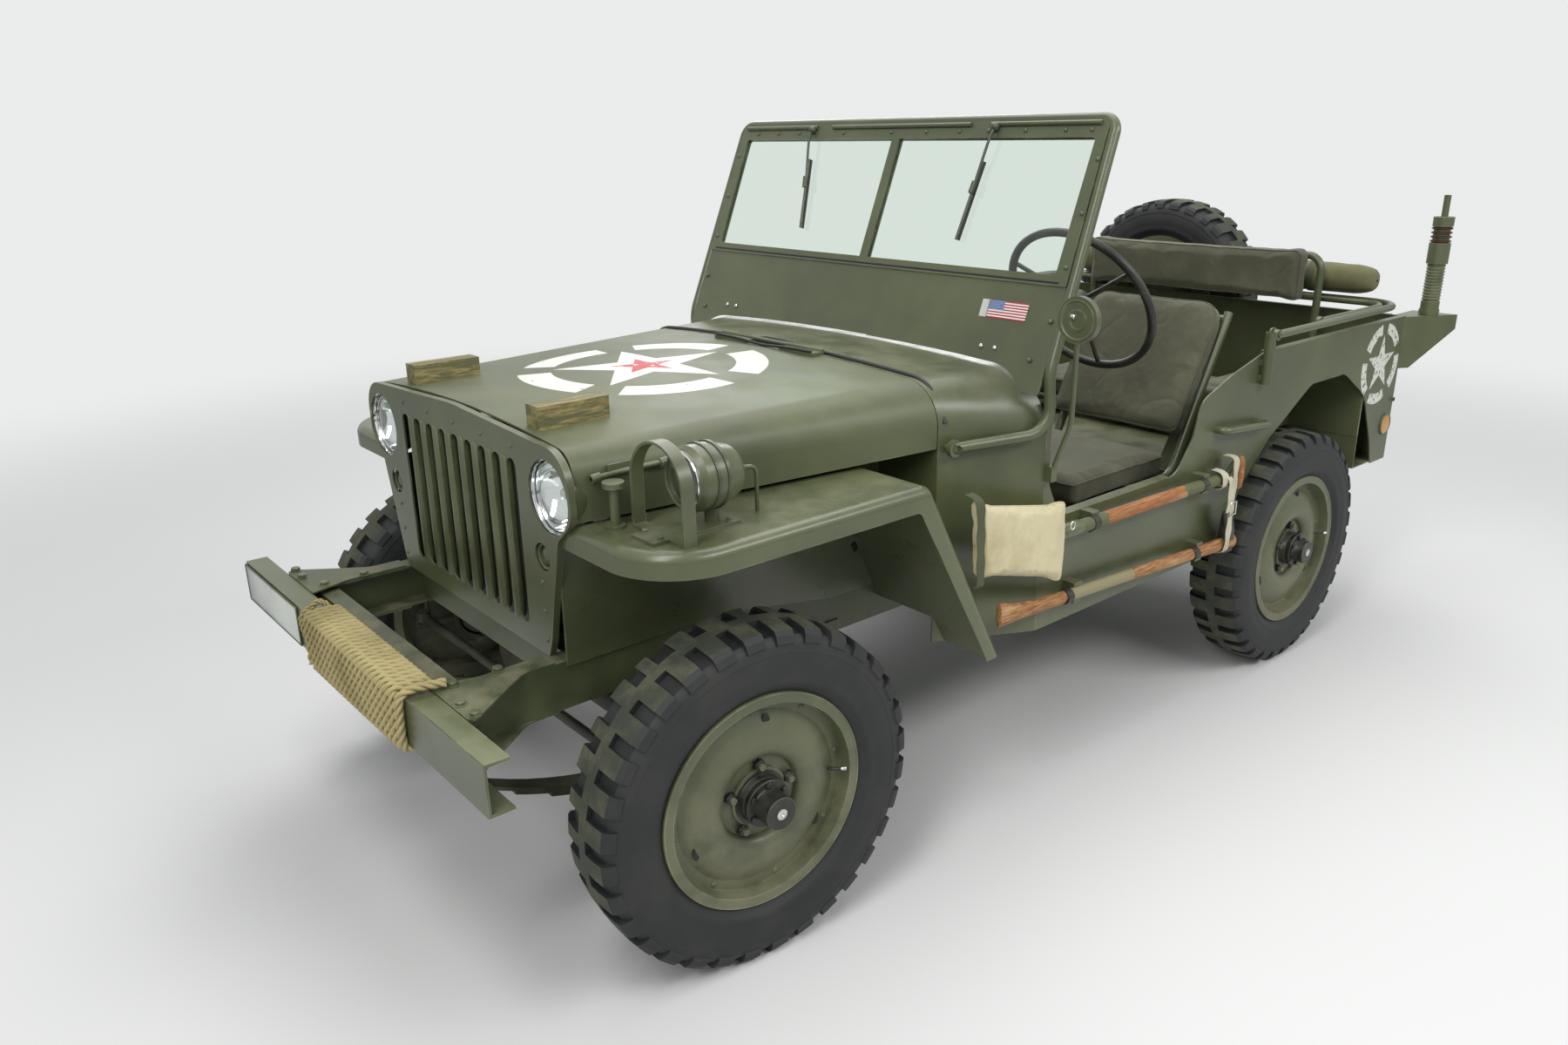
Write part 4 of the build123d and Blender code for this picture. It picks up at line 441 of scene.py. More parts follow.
OLIVE = {"Colour": shade(82, 88, 60), "Dust": 0.3, "Rubbed": 0.55, "Gloss": 0.34}


def olive(name, coat=0.16, **changes):
    """Body paint with its own settings."""
    values = dict(OLIVE)
    values.update(changes)
    return finish_of(name, PAINT, values, bump=0.14, bump_distance=0.0006, Coat_Weight=coat,
                     Coat_Roughness=0.25)


body_paint = olive("body paint")
fender_paint = olive("fender paint", Gloss=0.3, Dust=0.2)
inner_paint = olive("inside paint", Dust=0.65, Gloss=0.5)
wheel_paint = olive("wheel paint", Dust=0.55, Gloss=0.42, Rubbed=0.9)
frame_paint = olive("frame paint", Colour=shade(66, 74, 46), Dust=0.75, Gloss=0.5)
chassis_paint = finish_of("chassis paint", GRIME, {"Colour": shade(46, 50, 36), "Amount": 0.6}, bump=0.4)
engine_paint = finish_of("engine paint", GRIME, {"Colour": shade(70, 74, 62), "Amount": 0.8, "Scale": 20.0},
                         bump=0.4)
dark_paint = finish_of("black paint", GRIME, {"Colour": shade(26, 27, 25), "Amount": 0.35, "Roughness": 0.42},
                       bump=0.15)
bright_steel = finish_of("bright steel", GRIME, {"Colour": shade(205, 205, 200), "Amount": 0.12,
                                                 "Roughness": 0.12}, bump=0.05, Metallic=1.0)
rubber = finish_of("tyre rubber", GRIME, {"Colour": shade(25, 27, 28), "Amount": 0.3, "Scale": 9.0,
                                          "Roughness": 0.6, "Dirt": shade(66, 67, 60)}, bump=0.2)
dusty_rubber = finish_of("dusty tread", GRIME, {"Colour": shade(54, 58, 48), "Amount": 0.7, "Scale": 16.0,
                                                "Roughness": 0.8, "Dirt": shade(98, 98, 78)}, bump=0.4)
soft_rubber = finish_of("rubber seal", GRIME, {"Colour": shade(24, 25, 26), "Amount": 0.2, "Roughness": 0.5},
                        bump=0.1)
seat_canvas = finish_of("seat canvas", CLOTH, {"Colour": shade(74, 74, 56), "Faded": shade(104, 102, 82),
                                               "Fade": 0.55, "Thread": 420.0}, bump=0.35,
                        bump_distance=0.0006, Sheen_Weight=0.15)
roll_canvas = finish_of("roll canvas", CLOTH, {"Colour": shade(88, 88, 56), "Faded": shade(124, 120, 84),
                                               "Fade": 0.5, "Thread": 420.0}, bump=0.35, bump_distance=0.0006,
                        Sheen_Weight=0.15)
bag_canvas = finish_of("bag canvas", CLOTH, {"Colour": shade(204, 194, 158), "Faded": shade(176, 158, 116),
                                             "Fade": 0.75, "Thread": 380.0}, bump=0.4, bump_distance=0.0007,
                       Sheen_Weight=0.1)
strap_web = finish_of("pale webbing", CLOTH, {"Colour": shade(196, 190, 166), "Faded": shade(150, 144, 120),
                                              "Fade": 0.6, "Thread": 700.0}, bump=0.5, bump_distance=0.0006)
green_web = finish_of("green webbing", CLOTH, {"Colour": shade(72, 78, 56), "Faded": shade(92, 96, 72),
                                               "Fade": 0.5, "Thread": 700.0}, bump=0.5, bump_distance=0.0006)
rope_fibre = finish_of("rope fibre", CLOTH, {"Colour": shade(184, 170, 122), "Faded": shade(146, 134, 90),
                                             "Fade": 0.7, "Thread": 600.0}, bump=0.6, bump_distance=0.001)
block_wood = finish_of("block wood", GRAIN, {"Wood": shade(156, 144, 92), "Dark Grain": shade(92, 86, 52),
                                             "Painted": 0.5, "Paint": shade(92, 92, 60), "Stretch": 9.0},
                       bump=0.6)
plate_white = finish_of("plate enamel", PAINT, {"Colour": shade(196, 200, 196), "Dust": 0.3, "Rubbed": 0.3,
                                                "Gloss": 0.3}, bump=0.1)


def clear_glass(name, tint, rough=0.02):
    """Window glass that is seen through, a little smeared."""
    material, tree, shader = material_with_shader(name)
    smear = between(tree, speckle(tree, place_of(tree), 5.0, 6.0, 0.6), 0.5, 0.8)
    feed(tree, shader["Roughness"], plus(tree, rough, times(tree, smear, 0.05)))
    shader["Base Color"].default_value = tint
    shader["Transmission Weight"].default_value = 1
    shader["IOR"].default_value = 1.45
    return material


pane_glass = clear_glass("pane glass", (0.80, 0.90, 0.82, 1))
lens_glass = clear_glass("lens glass", (0.92, 0.95, 0.94, 1), 0.04)


def give(piece, *materials):
    """Replaces a piece's materials."""
    piece.data.materials.clear()
    for material in materials:
        piece.data.materials.append(material)
    return piece


hood_paint = olive("hood paint", coat=0.04, Gloss=0.5, Dust=0.15)
mark_over(hood_paint, (0, 1), (-0.024, (232 - AXLE_BACK) / 1000), 0.284, 1.0, inner_red=True)
side_paint = olive("side paint")
for facing in (1.0, -1.0):
    mark_over(side_paint, (1, 2), ((2551 - AXLE_BACK) / 1000, 0.833), 0.128, facing, wear=0.41)
CAD_FINISHES = {
    # the nodes that aren't in body paint
    hood_paint: ("hood",),
    side_paint: ("body_sides",),
    fender_paint: ("fenders",),
    frame_paint: ("frame",),
    chassis_paint: ("leaf_springs", "front_axle", "rear_axle", "prop_shafts", "exhaust", "knuckle_left",
                    "knuckle_right", "tie_rod"),
    engine_paint: ("engine",),
    dark_paint: ("radiator", "controls", "steering_wheel"),
    inner_paint: ("floor", "wheel_houses", "fuel_tank"),
    wheel_paint: ("spare_rim", "front_rim_left", "front_rim_right", "rear_rim_left", "rear_rim_right"),
    block_wood: ("hood_blocks",),
    pane_glass: ("windshield_glass",),
}
for node in nodes.values():
    give(node, body_paint)
for material, names in CAD_FINISHES.items():
    for name in names:
        give(nodes[name], material)


# Modelling tools

def leave_edit():
    """Back to object mode with nothing selected."""
    if bpy.context.object and bpy.context.object.mode != "OBJECT":
        bpy.ops.object.mode_set(mode="OBJECT")
    bpy.ops.object.select_all(action="DESELECT")


def only(piece):
    """Makes a piece the only one selected."""
    leave_edit()
    piece.select_set(True)
    bpy.context.view_layer.objects.active = piece
    return piece


def settle(piece):
    """Puts the piece's place and turn into its mesh."""
    only(piece)
    bpy.ops.object.transform_apply(location=True, rotation=True, scale=True)
    return piece


def named(name):
    """Names the newest piece."""
    piece = bpy.context.object
    piece.name = name
    piece.data.name = name
    return piece


def pick_faces(piece, test):
    """Opens a piece for editing with the faces selected that pass a test."""
    only(piece)
    bpy.ops.object.mode_set(mode="EDIT")
    bpy.ops.mesh.select_mode(type="FACE")
    bpy.ops.mesh.select_all(action="DESELECT")
    mesh = bmesh.from_edit_mesh(piece.data)
    for face in mesh.faces:
        if test(face):
            face.select_set(True)
    mesh.select_flush(True)
    bmesh.update_edit_mesh(piece.data)


def edit_all(piece):
    """Opens a piece for editing with all of it selected."""
    only(piece)
    bpy.ops.object.mode_set(mode="EDIT")
    bpy.ops.mesh.select_mode(type="VERT")
    bpy.ops.mesh.select_all(action="SELECT")


def finish_edit():
    """Leaves edit mode with the piece still active."""
    bpy.ops.object.mode_set(mode="OBJECT")


def outward(piece):
    """Merges doubles and turns all faces outwards."""
    edit_all(piece)
    bpy.ops.mesh.remove_doubles(threshold=0.00004)
    bpy.ops.mesh.normals_make_consistent(inside=False)
    finish_edit()
    return piece


def smooth(piece, angle=35):
    """Smooth shading, but for sharp corners."""
    only(piece)
    bpy.ops.object.shade_smooth_by_angle(angle=math.radians(angle))
    return piece


def soften(piece, width, segments=2, angle=30):
    """Rounds the sharp edges by a width in mm."""
    only(piece)
    bevel = piece.modifiers.new("rounded", "BEVEL")
    bevel.width = width / 1000
    bevel.segments = segments
    bevel.limit_method = "ANGLE"
    bevel.angle_limit = math.radians(angle)
    bpy.ops.object.modifier_apply(modifier="rounded")
    return smooth(piece)


def block(name, x, y, z, round_by=0.0, segments=2):
    """Block between two values on each axis in mm, y counted from the front axle."""
    leave_edit()
    spans = (x, y, z)
    bpy.ops.mesh.primitive_cube_add(size=1, location=at(*[(low + high) / 2 for low, high in spans]))
    piece = named(name)
    piece.scale = [abs(high - low) / 1000 for low, high in spans]
    settle(piece)
    return soften(piece, round_by, segments) if round_by else piece


SHARP_TIP = 0.01


def turned(name, centre, toward, profile, sides=32, angle=35):
    """Turned piece: rings of (distance along, radius) in mm about a line from a centre."""
    leave_edit()
    rings = [(along, max(radius, SHARP_TIP)) for along, radius in profile]
    last = rings[0]
    bpy.ops.mesh.primitive_circle_add(vertices=sides, radius=last[1] / 1000, location=(0, 0, last[0] / 1000))
    piece = named(name)
    edit_all(piece)
    for along, radius in rings[1:]:
        bpy.ops.mesh.extrude_region_move(TRANSFORM_OT_translate={"value": (0, 0, (along - last[0]) / 1000)})
        share = radius / last[1]
        bpy.ops.transform.resize(value=(share, share, 1), center_override=(0, 0, 0))
        last = (along, radius)
    finish_edit()
    piece.rotation_mode = "QUATERNION"
    settle(piece)
    outward(piece)
    piece.rotation_quaternion = Vector(toward).to_track_quat("Z", "Y")
    piece.location = at(*centre)
    settle(piece)
    return smooth(piece, angle)


def hoop(half, inner, outer):
    """Profile of a flat band: half its width, and its radii, in mm."""
    return [(-half, inner), (-half, outer), (half, outer), (half, inner), (-half, inner)]


def linked(name, data):
    """A new piece of a mesh or a curve."""
    piece = bpy.data.objects.new(name, data)
    bpy.context.collection.objects.link(piece)
    return piece


def meshed(name, vertices, faces):
    """A new piece of vertices in metres and faces."""
    mesh = bpy.data.meshes.new(name)
    mesh.from_pydata(vertices, [], faces)
    return linked(name, mesh)


def curve_through(name, points, smooth_line=True, cyclic=False, steps=6):
    """A curve along points in mm, smooth or straight from point to point."""
    line = bpy.data.curves.new(name, "CURVE")
    line.dimensions = "3D"
    spline = line.splines.new("NURBS" if smooth_line else "POLY")
    spline.points.add(len(points) - 1)
    for control, point in zip(spline.points, points):
        control.co = (*at(*point), 1)
    if smooth_line:
        spline.order_u = 3
        spline.use_endpoint_u = not cyclic
        spline.resolution_u = steps
    spline.use_cyclic_u = cyclic
    return linked(name, line)


def wire(name, points, radius, material, smooth_line=True, sides=3, cyclic=False):
    """Round bar of a radius in mm along points in mm."""
    piece = curve_through(name, points, smooth_line, cyclic)
    piece.data.bevel_depth = radius / 1000
    piece.data.bevel_resolution = sides
    piece.data.use_fill_caps = True
    only(piece)
    bpy.ops.object.convert(target="MESH")
    piece = bpy.context.object
    piece.data.name = name
    return give(smooth(piece, 50), material)


def moved_copy(piece, name, matrix):
    """A copy with its own mesh, moved by a matrix."""
    copy = piece.copy()
    copy.data = piece.data.copy()
    copy.name = name
    copy.data.name = name
    copy.data.transform(matrix)
    if matrix.determinant() < 0:
        copy.data.flip_normals()
    bpy.context.collection.objects.link(copy)
    return copy


def joined(name, pieces):
    """Several pieces made into one mesh."""
    leave_edit()
    for piece in pieces:
        piece.select_set(True)
    bpy.context.view_layer.objects.active = pieces[0]
    if len(pieces) > 1:
        bpy.ops.object.join()
    return named(name)


def remove(piece):
    """Takes a model piece away once its copies are made."""
    bpy.data.objects.remove(piece, do_unlink=True)


def spread(name, model, places):
    """Copies of a small piece made about +Z, put at places in mm and turned towards directions."""
    copies = []
    for index, (place, toward) in enumerate(places):
        turn = Vector(toward).to_track_quat("Z", "Y").to_matrix().to_4x4()
        copies.append(moved_copy(model, f"{name}_{index}", Matrix.Translation(at(*place)) @ turn))
    remove(model)
    return joined(name, copies)


def repeated(name, profile, sides, material, places):
    """A small turned piece, modelled once and spread over places."""
    model = turned("model_of_" + name, ORIGIN, UPWARD, profile, sides, 40)
    return spread(name, give(model, material), places)


def placed(piece, body):
    """Lets a finished piece ride on its body."""
    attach(piece, body)
    return piece


# Wheels and tyres

LUGS = 32
COLUMNS = LUGS * 5
TREAD_FOOT = 0.3195
TREAD_TOP = 0.347
TREAD_HALF = 0.0785
TREAD_FACE = 0.07
RIB_HALF = 0.013
TREAD_LIFTS = ((66, 11.6), (72, 9.5), (76, 4.0), (1000, 1.2))


def tyre_model():
    """Bar-tread tyre about the X axis: carcass turned, then centre rib and staggered bars raised."""
    half = [
        (59.7, 209), (60.2, 221), (64, 230), (73, 240), (76.5, 246), (77.4, 252), (76.8, 258), (79, 268),
        (79.6, 280), (79, 293), (77.2, 303), (78, 306), (77, 310), (74.5, 320), (70, 329), (62, 336),
        (40, 339.2), (13, 340.4),
    ]
    inside = [(50, 211), (62, 236), (69, 268), (68, 300), (52, 322)]
    ring = half + [(-x, r) for x, r in reversed(half)] + [(-x, r) for x, r in inside]
    ring += [(x, r) for x, r in reversed(inside)] + half[:1]
    piece = turned("tyre_model", ORIGIN, LEFTWARD, ring, COLUMNS)

    def raised(face):
        centre = face.calc_center_median()
        away = math.hypot(centre.y, centre.z)
        across = abs(centre.x)
        if away < TREAD_FOOT or across > TREAD_HALF or face.normal.dot(Vector((0, centre.y, centre.z))) < 0:
            return False
        if across < RIB_HALF:
            return True
        column = math.atan2(centre.z, centre.y) / (2 * math.pi) * COLUMNS
        shift = 0 if centre.x > 0 else 2.5
        return (column % 5 + shift) % 5 < 3 - 0.001

    pick_faces(piece, raised)
    bpy.ops.mesh.extrude_region_move()
    mesh = bmesh.from_edit_mesh(piece.data)
    for vertex in mesh.verts:
        if vertex.select:
            away = math.hypot(vertex.co.y, vertex.co.z)
            across = abs(vertex.co.x) * 1000
            lift = next(height for end, height in TREAD_LIFTS if across < end)
            share = (away + lift / 1000) / away
            vertex.co.y *= share
            vertex.co.z *= share
            vertex.co.x *= 1.035 if 60 < across < 76 else 1.0
    bmesh.update_edit_mesh(piece.data)
    bpy.ops.mesh.select_all(action="SELECT")
    bpy.ops.mesh.normals_make_consistent(inside=False)
    finish_edit()
    give(piece, rubber, dusty_rubber)
    for face in piece.data.polygons:
        away = math.hypot(face.center.y, face.center.z)
        face.material_index = 1 if away > TREAD_TOP and abs(face.center.x) < TREAD_FACE else 0
    return smooth(piece, 24)


def wheel_place(side, front):
    """Matrix that puts a wheel made about +X at the origin on its axle."""
    mirror = Matrix.Scale(-1, 4, (1, 0, 0)) if side < 0 else Matrix.Identity(4)
    if not front:
        return Matrix.Translation(at(side * HALF_TRACK, WHEELBASE, AXLE_HEIGHT)) @ mirror
    turn = Matrix.Rotation(STEER_REST * side, 4, "Z")
    offset = Matrix.Translation(((HALF_TRACK - KINGPIN_X) / 1000, 0, 0))
    return Matrix.Translation(at(side * KINGPIN_X, 0, AXLE_HEIGHT)) @ mirror @ turn @ offset


SPARE = Matrix.Translation(at(-275, 2785, 945)) @ Matrix.Rotation(math.radians(90), 4, "Z")
WHEELS = (
    # label, body, matrix, hub cap's end in mm
    ("front_{}_left", "front_wheel_left", wheel_place(1, True), 118),
    ("front_{}_right", "front_wheel_right", wheel_place(-1, True), 118),
    ("rear_{}_left", "rear_wheel_left", wheel_place(1, False), 106),
    ("rear_{}_right", "rear_wheel_right", wheel_place(-1, False), 106),
    ("spare_{}", "chassis", SPARE, 0),
)
tyre_one = tyre_model()
for label, body, place, _ in WHEELS:
    tread = moved_copy(tyre_one, label.format("tread"), place)
    placed(tread, body)
    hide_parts(label.format("tyre"))
remove(tyre_one)


# Wheel fittings

dark_grease = finish_of("greasy steel", GRIME, {"Colour": shade(30, 31, 28), "Amount": 0.5, "Scale": 40.0,
                                                "Roughness": 0.34, "Dirt": shade(66, 66, 54)}, bump=0.4)
# Near-black painted shade, laid on surfaces where slots and holes are not cut through.
painted_hole_shade = finish_of("painted hole shade", GRIME, {"Colour": shade(12, 13, 12), "Amount": 0.2,
                                                 "Roughness": 0.7})
worn_and_highlit_paint = finish_of("worn and highlit rim paint", PAINT, {"Colour": shade(104, 110, 78), "Dust": 0.4, "Rubbed": 0.9,
                                               "Gloss": 0.36})


def about_axle(radius, x, count, start=0.0):
    """Places round an axle along X at the origin, facing outwards."""
    places = []
    for index in range(count):
        turn = math.radians(start) + 2 * math.pi * index / count
        places.append(((x, AXLE_BACK + radius * math.cos(turn), radius * math.sin(turn)), LEFTWARD))
    return places


def wheel_fittings(name, cap_end):
    """Dished ring, rivets, nuts, hub, cap and valve of one wheel, about the X axis at the origin."""
    dish = [(36.4, 178), (37.6, 178.6), (40, 172), (52, 150), (58, 125), (58, 105), (52, 92), (44, 86),
            (38, 84), (36.4, 84), (36.4, 178)]
    rim_line = [(59.4, 220.6), (59.4, 222.9), (66.4, 223.4), (68.2, 222.4), (68.0, 220.6), (59.4, 220.6)]
    nut = [(-1, 12.6), (1, 13.2), (2, 11.8), (12.6, 11.8), (14, 10.4), (14, 6.2), (19, 6.0), (20.5, 4.6),
           (20.5, 0)]
    valve = [(40, AXLE_BACK + 160, 6), (50, AXLE_BACK + 163, 6), (60, AXLE_BACK + 170, 7),
             (68, AXLE_BACK + 181, 8)]
    valve_tip = [(-2, 3.2), (0, 4.4), (9, 4.2), (10.4, 3.0), (10.4, 0)]
    # The wheel's slots are flat dark ovals on the dish: painted shade of the openings.
    slot = give(turned("slot", ORIGIN, UPWARD, [(-1, 8), (0.3, 8), (0.5, 7), (0.5, 0)], 20, 40), painted_hole_shade)
    slot.data.transform(Matrix.Diagonal((1, 2.1, 1, 1)))
    parts = [
        give(turned("dish", ORIGIN, LEFTWARD, dish, 72), wheel_paint),
        # The rim flange ring is paler: partly worn paint, partly a painted highlight on the flange edge.
        give(turned("rim_line", ORIGIN, LEFTWARD, rim_line, 96), worn_and_highlit_paint),
        repeated("rivets", [(-1, 6.4), (1.2, 6.1), (2.6, 4.2), (3.1, 0)], 10, wheel_paint,
                 about_axle(189, 37, 8, 11)),
        repeated("nuts", nut, 6, dark_grease, about_axle(69.85, 37.2, 5, 18)),
        wire("valve", valve, 3.6, soft_rubber),
        repeated("valve_end", valve_tip, 12, bright_steel, [((67, AXLE_BACK + 180, 8), (0.6, 0.8, 0.1))]),
        spread("slots", slot, about_axle(160, 46.6, 3, 84)),
    ]
    if cap_end:
        hub = [(34, 0), (34, 57.5), (44, 57.5), (46, 56), (46, 50.4), (48, 49), (58, 48.8), (60, 47.6),
               (62, 48.8), (73, 48.8), (75, 47), (75, 35.2), (77, 33.8), (cap_end - 1.5, 33.8),
               (cap_end + 0.6, 32), (cap_end + 0.8, 14), (cap_end + 0.6, 0)]
        bolt = [(-1, 6.6), (4.6, 6.6), (5.4, 5.6), (5.4, 0)]
        axle_end = [(-3, 11.5), (2.4, 11.2), (3.4, 9.6), (3.4, 4), (1.6, 3.0), (1.6, 0)]
        parts += [
            give(turned("hub", ORIGIN, LEFTWARD, hub, 40), dark_grease),
            repeated("hub_bolts", bolt, 6, dark_grease, about_axle(41.2, 75, 6, 30)),
            repeated("axle_end", axle_end, 24, bright_steel, [((cap_end - 0.5, AXLE_BACK, 0), LEFTWARD)]),
        ]
    return joined(name, parts)


for label, body, place, cap_end in WHEELS:
    model = wheel_fittings("wheel_model", cap_end)
    placed(moved_copy(model, label.format("wheel_face"), place), body)
    remove(model)


# Rope wound on the bumper

ROPE_THICK = 20
ROPE_TURNS = 23
ROPE_PITCH = 20.4
ROPE_START = -173
ROPE_ROUND = (
    (-544.4, 504), (-544.6, 535), (-544.6, 580), (-544.4, 610), (-538, 616.4), (-510, 616.5), (-482, 616.4),
    (-475.6, 610), (-475.4, 580), (-475.4, 535), (-475.6, 504), (-482, 497.6), (-510, 497.5), (-538, 497.6),
)
ROPE_TAIL = (
    (300, -544.6, 520), (303, -544.6, 560), (306, -544.4, 600), (309, -540, 614), (312, -524, 620),
    (316, -504, 621), (322, -488, 621.5), (327, -474, 621.5), (330, -462, 621),
)


def rope_line():
    """Control points of the rope: turns round the bumper, then its loose end over the top."""
    points = []
    for turn in range(ROPE_TURNS):
        for index, (y, z) in enumerate(ROPE_ROUND):
            points.append((ROPE_START + (turn + index / len(ROPE_ROUND)) * ROPE_PITCH, y, z))
    return points + list(ROPE_TAIL)


def smooth_run(points, step):
    """Evenly spaced points, step mm apart, along the smooth spline of control points."""
    carrier = curve_through("run", points, steps=12)
    line = carrier.data
    flat = bpy.data.meshes.new_from_object(carrier)
    path = [vertex.co.copy() for vertex in flat.vertices]
    bpy.data.meshes.remove(flat)
    remove(carrier)
    bpy.data.curves.remove(line)
    even, left = [path[0]], step / 1000
    for first, second in zip(path, path[1:]):
        length = (second - first).length
        gone = 0.0
        while length - gone >= left > 0:
            gone += left
            even.append(first.lerp(second, gone / length))
            left = step / 1000
        left -= length - gone
    even.append(path[-1])
    return even


def strands(name, path, thick, lay, count=3, sides=8):
    """Twisted strands of a rope of a thickness in mm along a path, one closed tube each."""
    tangents = []
    for index in range(len(path)):
        step = path[min(index + 1, len(path) - 1)] - path[max(index - 1, 0)]
        tangents.append(step.normalized())
    normal = tangents[0].orthogonal().normalized()
    frames = [normal]
    for first, second in zip(tangents, tangents[1:]):
        normal = first.rotation_difference(second) @ normal
        normal = (normal - second * normal.dot(second)).normalized()
        frames.append(normal)
    radius = thick / 2000
    offset, strand = radius * 0.47, radius * 0.505
    vertices, faces = [], []
    for which in range(count):
        start = len(vertices)
        gone = 0.0
        for index, (point, tangent, normal) in enumerate(zip(path, tangents, frames)):
            if index:
                gone += (point - path[index - 1]).length
            side = tangent.cross(normal)
            turn = 2 * math.pi * (gone / (lay / 1000) + which / count)
            out = normal * math.cos(turn) + side * math.sin(turn)
            middle = point + out * offset
            across = tangent.cross(out)
            for corner in range(sides):
                angle = 2 * math.pi * corner / sides
                vertices.append(middle + (out * math.cos(angle) + across * math.sin(angle)) * strand)
        rings = len(path)
        for ring in range(rings - 1):
            for corner in range(sides):
                after = (corner + 1) % sides
                low, high = start + ring * sides, start + (ring + 1) * sides
                faces.append((low + corner, low + after, high + after, high + corner))
        faces.append(tuple(start + corner for corner in reversed(range(sides))))
        faces.append(tuple(start + (rings - 1) * sides + corner for corner in range(sides)))
    piece = meshed(name, vertices, faces)
    edit_all(piece)
    bpy.ops.mesh.normals_make_consistent(inside=False)
    finish_edit()
    return smooth(piece, 60)


ROPE_LAY = 60
rope_path = smooth_run(rope_line(), 5)
bumper_winding = give(strands("rope_winding", rope_path, ROPE_THICK, ROPE_LAY), rope_fibre)
placed(bumper_winding, "chassis")
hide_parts("bumper_rope")


# Lamps

chrome = finish_of("lamp chrome", GRIME, {"Colour": shade(226, 228, 228), "Amount": 0.06, "Roughness": 0.06},
                   bump=0.02, Metallic=1.0)
amber = finish_of("amber lens", GRIME, {"Colour": shade(206, 138, 24), "Amount": 0.15, "Roughness": 0.14},
                  bump=0.05, Coat_Weight=0.6)
ruby = finish_of("red lens", GRIME, {"Colour": shade(120, 18, 16), "Amount": 0.15, "Roughness": 0.14},
                 bump=0.05, Coat_Weight=0.6)


HEADLAMP = (378, -238, 937)
MARKER_LAMP = (338, -238, 812)
TAIL_LAMP = (590, 2690, 690)
REFLECTOR = (645, 2652, 621)
AMBER_RADIUS = 0.0302


def lamp_cup(name, centre, toward, profile, outside, inside, limit, sides=48):
    """Closed lamp cup with its own material on the faces that look out of it."""
    cup = turned(name, centre, toward, profile, sides)
    give(cup, outside, inside)
    facing = Vector(toward)
    for face in cup.data.polygons:
        face.material_index = 1 if face.normal.dot(facing) > limit else 0
    return cup


def domed_lens(name, centre, radius, bulge, sides=48):
    """Domed glass that faces forward, a few mm thick."""
    dome = [(0, 1), (0.45, 0.86), (0.8, 0.56), (1, 0)]
    hollow = [(1, 0), (0.8, 0.54), (0.45, 0.84), (0, 0.97)]
    profile = [(-3, radius)] + [(bulge * along, radius * out) for along, out in dome]
    profile += [(bulge * along - 3, radius * out) for along, out in hollow] + [(-3, radius)]
    return give(turned(name, centre, FORWARD, profile, sides), lens_glass)


for side, label in ((1, "left"), (-1, "right")):
    centre = (side * HEADLAMP[0], *HEADLAMP[1:])
    bowl = lamp_cup("headlamp_bowl_" + label, centre, FORWARD, [
        (-60, 0), (-60, 52), (-30, 66), (-12, 70.6), (7.5, 70.9), (9.2, 70.2), (9.2, 68.6), (6, 67.6),
        (-6, 66.4), (-22, 60), (-38, 46), (-48, 28), (-52, 0)], body_paint, chrome, 0.02)
    placed(bowl, "chassis")
    if side > 0:
        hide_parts("lamps")
    lens = domed_lens("headlamp_lens_" + label, (centre[0], centre[1] - 1, centre[2]), 66, 8.5)
    placed(lens, "chassis")
    bulb = turned("headlamp_bulb_" + label, (centre[0], centre[1] + 48, centre[2]), FORWARD, [
        (-2, 9), (10, 9), (12, 12), (22, 13), (30, 9), (33, 0)], 20)
    placed(give(bulb, bright_steel), "chassis")
    centre = (side * MARKER_LAMP[0], *MARKER_LAMP[1:])
    marker = lamp_cup("marker_lamp_" + label, centre, FORWARD, [
        (-30, 0), (-30, 24), (-20, 27.4), (7, 28), (9.4, 27), (9.8, 24), (8.2, 22), (3, 21.6), (2.6, 0)],
        body_paint, dark_paint, 0.8, 32)
    placed(marker, "chassis")
    visor = turned("marker_visor_" + label, centre, FORWARD, [(3, 18), (6, 15), (8.6, 8), (9.4, 0)], 28)
    placed(give(visor, body_paint), "chassis")
    x, y, z = side * TAIL_LAMP[0], *TAIL_LAMP[1:]
    tail = lamp_cup("tail_lamp_" + label, (x, y, z), REARWARD, [
        (-1, 0), (-1, 34), (2, 36), (28, 36), (32, 34.6), (33.6, 31), (31.5, 28), (27, 27.4), (27, 0)],
        body_paint, ruby, 0.7, 40)
    placed(tail, "chassis")
    guard = block("tail_bar_" + label, (x - 24, x + 24), (y + 26, y + 33), (z - 6, z + 6), 2)
    placed(give(guard, body_paint), "chassis")
    centre = (side * REFLECTOR[0], *REFLECTOR[1:])
    reflector = turned("side_reflector_" + label, centre, (side, 0, 0), [
        (-1, 0), (-1, 36), (3.6, 36), (5.4, 34.4), (5.4, 31), (4.2, 30), (5.6, 20), (6, 0)], 40)
    give(reflector, wheel_paint, amber)
    for face in reflector.data.polygons:
        away = face.center - at(*centre)
        shows = math.hypot(away.y, away.z) < AMBER_RADIUS and face.normal.x * side > 0.3
        face.material_index = 1 if shows else 0
    placed(reflector, "chassis")


# Stuffed and rolled cloth

SIDE_PLANE = Matrix(((0, 0, 1, 0), (1, 0, 0, -AXLE_BACK / 1000), (0, 1, 0, 0), (0, 0, 0, 1)))
SEAT_INSET = 7
SEAM_RADIUS = 2.2
SEAM_STEP = 18


